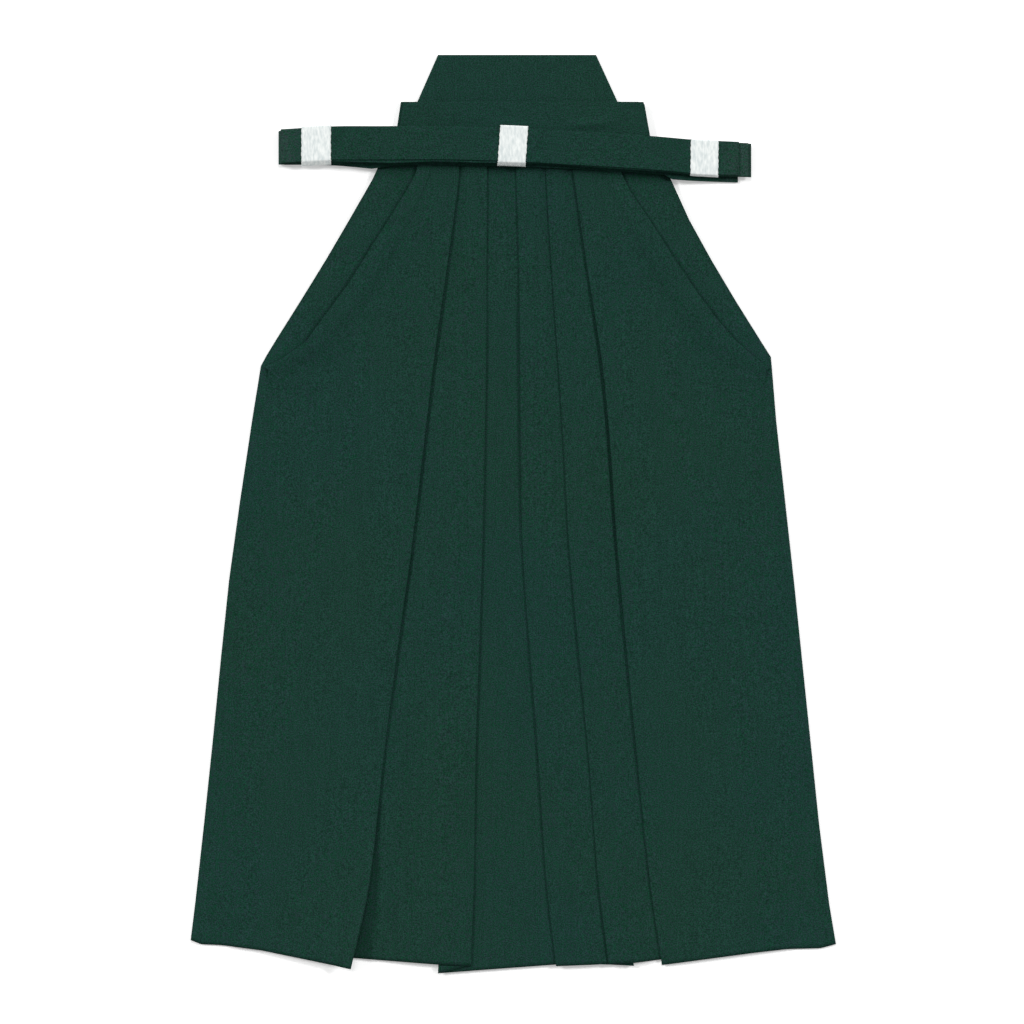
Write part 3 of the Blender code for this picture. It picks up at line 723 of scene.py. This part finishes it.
def slit_places(inward, edge_column, hem_y):
    """Stitches along the side slit, on the leaf."""
    inset, pitch = SLIT_STITCH[:2]
    places = []
    count = int((CORNER_LEFT - STITCHES_START) * (WAIST_Y - hem_y) / pitch)
    for i in range(count):
        share = STITCHES_START + i * pitch / (WAIST_Y - hem_y)
        x = inward * inset + straight(EDGES, share, edge_column)
        ahead = inward * inset + straight(EDGES, share + SLIT_AHEAD, edge_column)
        z = level(0, straight(RAISED, share, 1)) + SHELL / 2
        y = WAIST_Y + (hem_y - WAIST_Y) * share
        direction = np.array((ahead - x, (hem_y - WAIST_Y) * SLIT_AHEAD, 0.0))
        places.append((np.array((x, y, z)), direction, np.array((0.0, 0.0, 1.0))))
    return places


def board_places():
    """Stitches on the underside that join the board's foot to the backs of the legs."""
    foot = BOARD_CORNERS[2][1] - FOOT_BELOW
    left, right = BOARD_CORNERS[3][0] + FOOT_CORNER, BOARD_CORNERS[2][0] - FOOT_CORNER
    direction, normal = np.array((FOOT_SLANT, 1.0, 0.0)), np.array((0.0, 0.0, -1.0))
    return [(np.array((x, foot, 0.0)), direction, normal)
            for x in np.arange(left, right, BOARD_STITCH[1])]


def leg_rows(inward, section, hems, shares, raise_at):
    """Rows of a leg's upper and lower face from the waist down, and y of the hem at each column."""
    hem_line = section(1.0)
    counts = stretch_counts(hem_line, COLUMN_PITCH)
    hem = fine_line([(straight(hems[layer], inward * a), 0.0) for a, z, layer, taken in hem_line],
                    counts)[:, 0]
    upper, lower = [], []
    for share in shares:
        line = fine_line([(a, z, taken) for a, z, layer, taken in section(share)], counts)
        x, y = inward * line[:, 0], WAIST_Y + (hem - WAIST_Y) * share
        line[:, 1] += raise_at(share, x, y) * line[:, 2]
        for grid, face in zip((upper, lower), thicken(line[:, :2], SHELL)):
            grid.append(np.stack([inward * face[:, 0], y, face[:, 1]], axis=1))
    return upper, lower, hem


def leg_piece(node, upper, lower, places, material, thread):
    stitch_piece(node + "_stitches", places, HEM_STITCH, thread)
    faces = shell_faces(len(upper), len(upper[0]))
    return new_piece(node + "_cloth", np.vstack(upper + lower), faces, node, material)


def front_leg(node, inward, edge_column, leaf_column, pleats, hems, tail, *cloths):
    """Front of a leg, with its leaf fold and pleats."""
    def section(share):
        return front_section(share, inward, edge_column, leaf_column, pleats, tail)

    def raise_at(share, x, y):
        below_tie = ease((share - CREASES_START) / CREASES_RUN)
        return (crease_height(x, y) + ripple(x, y)) * below_tie

    opening = tuple(row[0] for row in LEAF_OPENING)
    marks = (0.0, STITCHES_START, CORNER_LEFT, LEAF_NARROWS) + opening + (1.0,)
    upper, lower, hem = leg_rows(inward, section, hems, shares_down(0.0, marks), raise_at)
    places = hem_places(upper, lower) + slit_places(inward, edge_column, hem[0])
    return leg_piece(node, upper, lower, places, *cloths)


def back_leg(node, inward, edge_column, *cloths):
    """Back of a leg: it lies on the surface and folds up and over at the centre back."""
    levels = [SHELL / 2, WALL / 2 + STEP, WALL / 2 + 2 * STEP]

    def section(share):
        edge = inward * straight(EDGES, share, edge_column) + EDGE_INSET
        fold = -straight(BACK_PLEAT, share, 1)
        under = fold - straight(BACK_PLEAT, share, 2)
        line = shown([(edge, levels[0]), (mix(edge, under, 0.5), levels[0])], "back")
        line += shown([(under, levels[0])] + turn(fold, 1, levels[0], levels[1]), "back", 0.0, 0.0)
        line += shown(turn(under, -1, levels[1], levels[2]), "back", 0.0, 0.0)
        return line + shown([(-GAP / 2, levels[2])], "back", 0.0)

    def raise_at(share, x, y):
        faded = clamp((1.0 - share) / BACK_RIPPLE_FADE)
        return BACK_RIPPLE * ripple(x + BACK_RIPPLE_ASIDE, y) * faded

    shares = shares_down(BACK_TOP_SHARE, (CORNER_LEFT, LEAF_END))
    upper, lower, hem = leg_rows(inward, section, {"back": BACK_HEM}, shares, raise_at)
    return leg_piece(node, upper, lower, hem_places(lower, upper), *cloths)


# Section across a strap with soft edges: shares of the half width and of the half thickness
STRAP_HALF = ((1.0, 0.0), (0.996, 0.6), (0.984, 0.9)) + tuple(
    (q, 1.0) for q in (0.96, 0.8, 0.6, 0.4, 0.2))
STRAP_SECTION = tuple((-q, t) for q, t in STRAP_HALF) + ((0.0, 1.0),) + STRAP_HALF[::-1]


def strap(name, node, line, wall, place, material):
    """Strap along a line of x and height, closed all round; place puts a point where it lies."""
    top = thicken(line, wall)[0]
    ring = [(q, t) for q, t in STRAP_SECTION] + [(q, -t) for q, t in STRAP_SECTION[-2:0:-1]]
    vertices = []
    for i in range(len(line)):
        for q, t in ring:
            face = line[i] + (top[i] - line[i]) * t
            vertices.append(place(i, face[0], face[1], q))
    count, rings = len(ring), len(line)
    faces = []
    for i in range(rings - 1):
        for j in range(count):
            k = (j + 1) % count
            faces.append((i * count + j, i * count + k, (i + 1) * count + k, (i + 1) * count + j))
    half = len(STRAP_SECTION)
    for base in (0, (rings - 1) * count):
        for j in range(half - 1):
            under = [(count - j) % count, count - j - 1]
            cap = [base + j, base + j + 1, base + under[1], base + under[0]]
            faces.append(tuple(dict.fromkeys(cap)))
    return new_piece(name, vertices, faces, node, material)


def board_side(side, y):
    """x of the board's left or right edge at a height up the garment."""
    upper, lower = BOARD_CORNERS[::3] if side < 0 else BOARD_CORNERS[1:3]
    return mix(upper[0], lower[0], (upper[1] - y) / (upper[1] - lower[1]))


def unevenness(waves, x, i):
    high, length, points = waves
    return high * math.sin(x / length + i / points)


def folded_line(runs, height, wall):
    """Line of a strap folded to and fro: x, height, and how far it lies below its middle line."""
    line = []
    heights = [height(layer) for layer, run in runs]
    for (layer, run), here, onto in zip(runs, heights, heights[1:] + [None]):
        line += [(x, here, below) for x, below in run[:-1]]
        x, below = run[-1]
        end = [(x, here)] if onto is None else turn(x, 1 if x > 0 else -1, here, onto, wall)
        line += [(px, pz, below) for px, pz in end]
    return line


def back_tie(name, node, side, runs, material):
    """Back tie from its seam at the board's side, folded to and fro over the board's face."""
    def height(steps):
        return BACK_TIE_FLOOR + WALL / 2 + steps * STEP

    seam = (board_side(side, BACK_TIE_Y) + side * GAP, height(runs[0][0]), 0.0)
    line = cut_runs([seam] + folded_line(runs, height, WALL), BACK_TIE_PITCH)[:, :2]
    last_run = height(runs[-1][0]) - STEP / 2

    def place(i, x, z, q):
        y = BACK_TIE_Y + q * TIE_WIDTH / 2 + unevenness(BACK_TIE_UNEVEN, x, i)
        if i == 0:
            return board_side(side, y) + side * GAP, y, z
        if side > 0 and z > last_run:
            z += float(crease_height(np.asarray(x), np.asarray(y), TIE_CREASES))
        elif side > 0:
            y -= BACK_TIE_DROOP * ease((x - DROOP_START) / (DROOP_END - DROOP_START))
        return x * (1 - q * BACK_TIE_SPREAD), y, z

    return strap(name, node, line, BACK_TIE_SHELL, place, material)


def tie_height(layer):
    """Middle height of a layer of the bundle above the bed, with room for the paper."""
    paper_room = PAPER + GAP if layer >= FIRST_WRAPPED_LAYER else 0.0
    return TIE_WALL / 2 + layer * TIE_STEP + paper_room


def puff(x):
    """How much the bundle swells between its paper bands."""
    nearest = min(abs(x - row[1]) - row[2] / 2 for row in PAPER_BANDS)
    return ease(nearest / PUFF_REACH)


def front_tie(material):
    """One strap: the waistband and both long ties, folded to and fro into a bundle."""
    line = cut_runs(folded_line(FRONT_TIE_RUNS, tie_height, TIE_WALL), FRONT_TIE_PITCH)

    def place(i, x, z, q):
        swell = puff(x)
        uneven = unevenness(FRONT_TIE_UNEVEN, x, i) * swell
        y = smooth(BUNDLE_LINE, x) - line[i][2] + q * TIE_WIDTH / 2 + uneven
        lie = z + z * PUFF_SHARE * swell * ease(z / PUFF_FOOT) + straight(BUNDLE_BED, x)
        return x, y, lie

    return strap("front_tie_strap", "front_tie", line[:, :2], FRONT_TIE_SHELL, place, material)


# The lower side of a band slopes out from this far beyond the top strap, down to this share of
# the band's height. Its corners are round and its cut edges uneven, which fades inward by a power
# of the distance from the middle.
BAND_SLACK = 0.8
BAND_BEND = 0.45
BAND_CORNER = 1.1
BAND_CORNER_STEPS = 5
BAND_PITCH = 2.0
BAND_STEPS = 16
BAND_UNEVEN = 0.28
BAND_END = 6


def soft_corners(corners, reach, steps):
    """Closed line with a short curve in place of each corner."""
    ring = []
    for c, corner in enumerate(corners):
        here = np.asarray(corner)
        into = np.asarray(corners[c - 1]) - here
        out = np.asarray(corners[(c + 1) % len(corners)]) - here
        into *= reach / np.linalg.norm(into)
        out *= reach / np.linalg.norm(out)
        for i in range(steps):
            t = i / (steps - 1)
            ring.append(here + into * (1 - t) ** 2 + out * t**2)
    return ring


def paper_band(name, middle, width, above, below, lean, material):
    """Closed paper loop around the upper layers of the bundle."""
    bottom = tie_height(FIRST_WRAPPED_LAYER) - TIE_WALL / 2 - GAP / 2
    top = tie_height(TOP_LAYER) + TIE_WALL / 2 + GAP / 2
    half = TIE_WIDTH / 2
    upper_side, lower_side = half + above, -half - below
    corners = ((upper_side, bottom), (upper_side, top), (-half - BAND_SLACK, top),
               (lower_side, mix(bottom, top, BAND_BEND)), (lower_side, bottom))
    ring = soft_corners(corners, BAND_CORNER, BAND_CORNER_STEPS)
    loop = cut_runs(ring + ring[:1], BAND_PITCH)[:-1]
    along = np.roll(loop, -1, axis=0) - np.roll(loop, 1, axis=0)
    along /= np.linalg.norm(along, axis=1)[:, None]
    outward = np.stack([-along[:, 1], along[:, 0]], axis=1)
    outward *= np.sign(((loop - loop.mean(axis=0)) * outward).sum(axis=1))[:, None]
    vertices = []
    for r in range(BAND_STEPS + 1):
        end = abs(2.0 * r / BAND_STEPS - 1.0) ** BAND_END
        for far in (0.0, PAPER_SHELL):
            for c, (q, w) in enumerate(loop + outward * far):
                ragged = math.sin(c * 1.9 + r * 5.0) + 0.6 * math.sin(c * 0.7 + r * 3.0)
                x = middle + width * (r / BAND_STEPS - 0.5) + BAND_UNEVEN * ragged * end
                leaning = x + lean * q
                vertices.append((leaning, smooth(BUNDLE_LINE, leaning) + q,
                                 w + straight(BUNDLE_BED, x)))
    count = len(loop)

    def at(r, side, c):
        return (2 * r + side) * count + c % count

    faces = []
    for c in range(count):
        for r in range(BAND_STEPS):
            for side in (0, 1):
                faces.append((at(r, side, c), at(r, side, c + 1),
                              at(r + 1, side, c + 1), at(r + 1, side, c)))
        for r in (0, BAND_STEPS):
            faces.append((at(r, 0, c), at(r, 0, c + 1), at(r, 1, c + 1), at(r, 1, c)))
    return new_piece(name + "_loop", vertices, faces, name, material)


# Grid of the back board, across and down: length, and share at which the even points start and
# how many they are. Its edges are rounded, by the distance in and the share of half the
# thickness. The cover lies a little below the frame's face and is fuller in the middle.
BOARD_ACROSS = (200.0, 0.02, 60)
BOARD_DOWN = (86.0, 0.04, 30)
BOARD_MARGINS = (0.0, 0.25, 0.7, 1.4)
BOARD_ROUNDING = (0.0, 0.62, 0.9, 1.0)
BOARD_SUNK = 0.15
BOARD_CROWN = 0.1


def board_shares(length, first, count):
    """Even shares of a length, and closer ones in the rounded margins."""
    near = [margin / length for margin in BOARD_MARGINS]
    even = np.linspace(first, 1 - first, count)
    return sorted({*near, *even, *(1 - share for share in near)})


def board(material):
    """Back board: a stiff card under cloth, slightly full in the middle, with rounded edges."""
    corners = np.asarray(BOARD_CORNERS)
    half = (3 * STEP - GAP) / 2
    us, vs = board_shares(*BOARD_ACROSS), board_shares(*BOARD_DOWN)
    top, bottom = [], []
    for v in vs:
        left, right = mix(corners[0], corners[3], v), mix(corners[1], corners[2], v)
        for u in us:
            x, y = mix(left, right, u)
            inside = min(min(u, 1 - u) * BOARD_ACROSS[0], min(v, 1 - v) * BOARD_DOWN[0])
            full = np.interp(inside, BOARD_MARGINS, BOARD_ROUNDING)
            crown = BOARD_CROWN * math.sin(math.pi * u) * math.sin(math.pi * v)
            top.append((x, y, half + (half - BOARD_SUNK + crown) * full))
            bottom.append((x, y, half * (1 - full)))
    vertices = np.asarray(top + bottom)
    faces = shell_faces(len(vs), len(us))
    return new_piece("back_board_cover", vertices, faces, "back_board", material)


# Rib and soft stripes of the cloth, drawn out along its grain: scale along it and across
RIB_SCALE = (110.0, 640.0)
STRIPE_SCALE = (12.0, 330.0)

# Even noises of the cloth: stretch, scale, detail and roughness
PLAIN = (1.0, 1.0, 1.0)
CLOTH_NOISES = {
    "speckle": (PLAIN, 820.0, 1.0, 0.6),
    "hue": ((0.83, 0.83, 0.83), 700.0, 1.0, 0.6),
    "mottle": (PLAIN, 55.0, 3.0, 0.6),
    "tint": (PLAIN, 4.0, 2.0, 0.5),
}

# Colours of the rib, and how the noises change them in turn: name, range of the noise, and what
# the colour is multiplied by at its lower and at its upper end
RIB_DARK = (0.0086, 0.0345, 0.0243, 1)
RIB_LIGHT = (0.0102, 0.0405, 0.0286, 1)
CLOTH_TONES = (
    ("tint", 0.35, 0.65, PLAIN, (0.95, 0.98, 1.08)),
    ("mottle", 0.3, 0.7, (0.93, 0.93, 0.93), PLAIN),
    ("hue", 0.32, 0.68, (1.6, 0.92, 1.28), (0.45, 1.08, 0.74)),
    ("speckle", 0.32, 0.68, (0.5, 0.56, 0.52), (1.56, 1.48, 1.54)),
)

# Depth of the stripes on the panels and on the ties
PANEL_STRIPES = 0.05
STRAP_STRIPES = 0.02

# The ties' ends are painted lighter, a painted highlight for the light their folded ends catch:
# factors, and the x in metres at which this starts and is whole
LIT_ENDS_TONE = (1.9, 1.26, 1.36)
LIT_ENDS_START = 0.225
LIT_ENDS_WHOLE = 0.262

# Strength and distance of the weave's relief, range of the roughness, and even values
CLOTH_BUMP = (0.45, 0.00012)
CLOTH_ROUGHNESS = (0.82, 0.95)
CLOTH_SHINE = {
    "Specular IOR Level": 0.05,
    "Sheen Weight": 0.03,
    "Sheen Roughness": 0.35,
    "Sheen Tint": (0.45, 0.75, 0.62, 1),
}

# Thread: scale of its twist, and its two colours
THREAD_SCALE = 1800.0
THREAD_DARK = (0.0095, 0.038, 0.0265, 1)
THREAD_LIGHT = (0.0145, 0.052, 0.0375, 1)
THREAD_SHINE = {"Roughness": 0.75, "Specular IOR Level": 0.15}

# Paper: scale of its fibres, its two colours, and strength and distance of its relief
PAPER_SCALE = (420.0, 130.0, 420.0)
PAPER_DARK = (0.60, 0.66, 0.66, 1)
PAPER_LIGHT = (0.86, 0.89, 0.87, 1)
PAPER_BUMP = (0.3, 0.0001)
PAPER_SHINE = {"Roughness": 0.8, "Specular IOR Level": 0.3}


def new_material(name, shine):
    """Material with these inputs of its shader, its node tree and the shader."""
    material = bpy.data.materials.new(name)
    material.use_nodes = True
    shader = material.node_tree.nodes["Principled BSDF"]
    fill(material.node_tree, shader, shine)
    return material, material.node_tree, shader


def fill(tree, node, inputs):
    """Set inputs of a node, or link them where the value is another node's output."""
    for socket, value in inputs.items():
        if isinstance(value, bpy.types.NodeSocket):
            tree.links.new(value, node.inputs[socket])
        else:
            node.inputs[socket].default_value = value


def new_node(tree, kind, inputs, **settings):
    """New node with its settings and inputs."""
    node = tree.nodes.new(kind)
    for name, value in settings.items():
        setattr(node, name, value)
    fill(tree, node, inputs)
    return node


def object_place(tree, stretch=PLAIN):
    """Place on the object, scaled on each axis."""
    place = new_node(tree, "ShaderNodeTexCoord", {}).outputs["Object"]
    inputs = {"Vector": place, "Scale": stretch}
    return new_node(tree, "ShaderNodeMapping", inputs).outputs["Vector"]


def noise(tree, stretch, scale, detail, roughness):
    inputs = {"Vector": object_place(tree, stretch), "Scale": scale, "Detail": detail,
              "Roughness": roughness}
    return new_node(tree, "ShaderNodeTexNoise", inputs).outputs["Fac"]


def spread(tree, value, low=0.3, high=0.7):
    """0 to 1 over a range of a value, as a rule the range of a noise."""
    inputs = {"Value": value, "From Min": low, "From Max": high}
    return new_node(tree, "ShaderNodeMapRange", inputs).outputs["Result"]


def blend(tree, factor, a, b, kind="MIX"):
    inputs = {0: factor, 6: a, 7: b}
    node = new_node(tree, "ShaderNodeMix", inputs, data_type="RGBA", blend_type=kind)
    return node.outputs[2]


def toned(tree, colour, factors):
    """Colour multiplied by three factors."""
    return colour if factors == PLAIN else blend(tree, 1.0, colour, (*factors, 1), "MULTIPLY")


def bumped(tree, height, bump):
    """Normal over a height, with a strength and a distance."""
    inputs = {"Height": height, "Strength": bump[0], "Distance": bump[1]}
    return new_node(tree, "ShaderNodeBump", inputs).outputs["Normal"]


def math_node(tree, operation, *values):
    return new_node(tree, "ShaderNodeMath", dict(enumerate(values)), operation=operation).outputs[0]


def cloth_material(name, along_x):
    """Dark green woven cloth with a fine rib along the grain and a faint mottled colour."""
    material, tree, shader = new_material(name, CLOTH_SHINE)

    def drawn_out(scale, detail, roughness):
        along, across = scale
        stretch = (along, across, across) if along_x else (across, along, across)
        return noise(tree, stretch, 1.0, detail, roughness)

    rib = drawn_out(RIB_SCALE, 1.0, 0.5)
    stripe = drawn_out(STRIPE_SCALE, 2.0, 0.6)
    noises = {kind: noise(tree, *row) for kind, row in CLOTH_NOISES.items()}
    colour = blend(tree, spread(tree, rib), RIB_DARK, RIB_LIGHT)
    for kind, low, high, lower, upper in CLOTH_TONES:
        share = spread(tree, noises[kind], low, high)
        colour = blend(tree, share, toned(tree, colour, lower), toned(tree, colour, upper))
    depth = STRAP_STRIPES if along_x else PANEL_STRIPES
    colour = blend(tree, spread(tree, stripe),
                   toned(tree, colour, (1 - depth,) * 3), toned(tree, colour, (1 + depth,) * 3))
    # Painted highlight: the ties' ends are painted lighter, for the light their folded ends catch.
    if along_x:
        parts = new_node(tree, "ShaderNodeSeparateXYZ", {"Vector": object_place(tree)})
        outward = math_node(tree, "ABSOLUTE", parts.outputs["X"])
        colour = blend(tree, spread(tree, outward, LIT_ENDS_START, LIT_ENDS_WHOLE),
                       colour, toned(tree, colour, LIT_ENDS_TONE))
    low, high = CLOTH_ROUGHNESS
    rough = {"Value": noises["mottle"], "To Min": low, "To Max": high}
    fill(tree, shader, {
        "Base Color": colour,
        "Normal": bumped(tree, math_node(tree, "ADD", rib, noises["speckle"]), CLOTH_BUMP),
        "Roughness": new_node(tree, "ShaderNodeMapRange", rough).outputs["Result"],
    })
    return material


def thread_material():
    """Green sewing thread, a little brighter than the cloth, with a fine twist."""
    material, tree, shader = new_material("green_thread", THREAD_SHINE)
    twist = noise(tree, PLAIN, THREAD_SCALE, 2.0, 0.5)
    fill(tree, shader, {"Base Color": blend(tree, twist, THREAD_DARK, THREAD_LIGHT)})
    return material


def paper_material():
    """Plain white fibrous paper."""
    material, tree, shader = new_material("white_paper_fibres", PAPER_SHINE)
    fibres = noise(tree, PAPER_SCALE, 1.0, 4.0, 0.5)
    fill(tree, shader, {"Base Color": blend(tree, spread(tree, fibres), PAPER_DARK, PAPER_LIGHT),
                        "Normal": bumped(tree, fibres, PAPER_BUMP)})
    return material


# The pale floor, in metres: half its side, how far it lies below the garment, and its looks, lit
# from below a little
FLOOR_HALF = 6.0
FLOOR_DROP = 0.0004
FLOOR_LOOKS = {
    "Base Color": (0.96, 0.96, 0.96, 1),
    "Roughness": 0.9,
    "Specular IOR Level": 0.1,
    "Emission Color": (1.0, 1.0, 1.0, 1),
    "Emission Strength": 0.28,
}


def floor():
    mesh = bpy.data.meshes.new("floor")
    corners = [(x * FLOOR_HALF, y * FLOOR_HALF, 0) for x, y in ((-1, -1), (1, -1), (1, 1), (-1, 1))]
    mesh.from_pydata(corners, [], [(0, 1, 2, 3)])
    surface = new_object("floor", mesh)
    surface.location.z = -FLOOR_DROP
    mesh.materials.append(new_material("pale_floor", FLOOR_LOOKS)[0])


# Soft lights: name, direction round from the garment's top and height above the surface, both
# in degrees, and share of the light on a level surface. Then their width in degrees, and the
# strength of an even sky.
LIGHTS = (
    ("upper left", -66.0, 36.0, 0.32),
    ("upper right", 66.0, 36.0, 0.32),
    ("top", 0.0, 42.0, 0.17),
)
SOFTNESS = 16.0
SKY = 0.3


def studio():
    """Plain soft light from the garment's top and both sides, and a weak even sky."""
    for name, around, height, share in LIGHTS:
        light = bpy.data.lights.new(name, "SUN")
        light.angle = math.radians(SOFTNESS)
        light.energy = share * math.pi / math.sin(math.radians(height))
        lamp = new_object(name, light)
        lamp.rotation_euler = (math.radians(height - 90.0), 0.0, math.radians(-around))
    world = bpy.data.worlds.new("studio")
    world.use_nodes = True
    background = world.node_tree.nodes["Background"]
    background.inputs["Color"].default_value = (1.0, 1.0, 1.0, 1)
    background.inputs["Strength"].default_value = SKY
    bpy.context.scene.world = world
    bpy.context.scene.view_settings.view_transform = "Standard"


# Camera straight above, as the photo has it: millimetres per pixel of the photo, the pixel
# that the origin lies at, a long lens and its sensor in mm, and how far it sees in metres
PIXEL_MM = 1.132
PHOTO_SIDE = 1024
ORIGIN_PIXEL = (513.3, 514.0)
LENS = 200.0
SENSOR = 36.0
FARTHEST = 20.0


def camera():
    data = bpy.data.cameras.new("camera")
    data.lens = LENS
    data.sensor_width = SENSOR
    data.clip_end = FARTHEST
    eye = new_object("camera", data)
    side = PIXEL_MM * PHOTO_SIDE * MM
    eye.location = (
        (PHOTO_SIDE / 2 - ORIGIN_PIXEL[0]) * PIXEL_MM * MM,
        (ORIGIN_PIXEL[1] - PHOTO_SIDE / 2) * PIXEL_MM * MM,
        side * LENS / SENSOR,
    )
    bpy.context.scene.camera = eye


def main():
    camera()
    panel_cloth = cloth_material("green_cloth_panels", along_x=False)
    strap_cloth = cloth_material("green_cloth_straps", along_x=True)
    paper = paper_material()
    thread = thread_material()

    cloths = (panel_cloth, thread)
    right_front = front_leg("front_right_leg", 1, 1, 1, PLEATS_RIGHT, HEM_RIGHT, "strip", *cloths)
    left_front = front_leg("front_left_leg", -1, 2, 2, PLEATS_LEFT, HEM_LEFT, "fold", *cloths)
    right_back = back_leg("back_right_leg", 1, 1, *cloths)
    left_back = back_leg("back_left_leg", -1, 2, *cloths)

    board(panel_cloth)
    stitch_piece("back_board_stitches", board_places(), BOARD_STITCH, thread)
    right_tie = back_tie("back_tie_right_strap", "back_tie_right", -1, BACK_TIE_RIGHT, strap_cloth)
    left_tie = back_tie("back_tie_left_strap", "back_tie_left", 1, BACK_TIE_LEFT, strap_cloth)
    long_tie = front_tie(strap_cloth)
    for row in PAPER_BANDS:
        band = paper_band(*row, paper)
    floor()
    studio()


main()
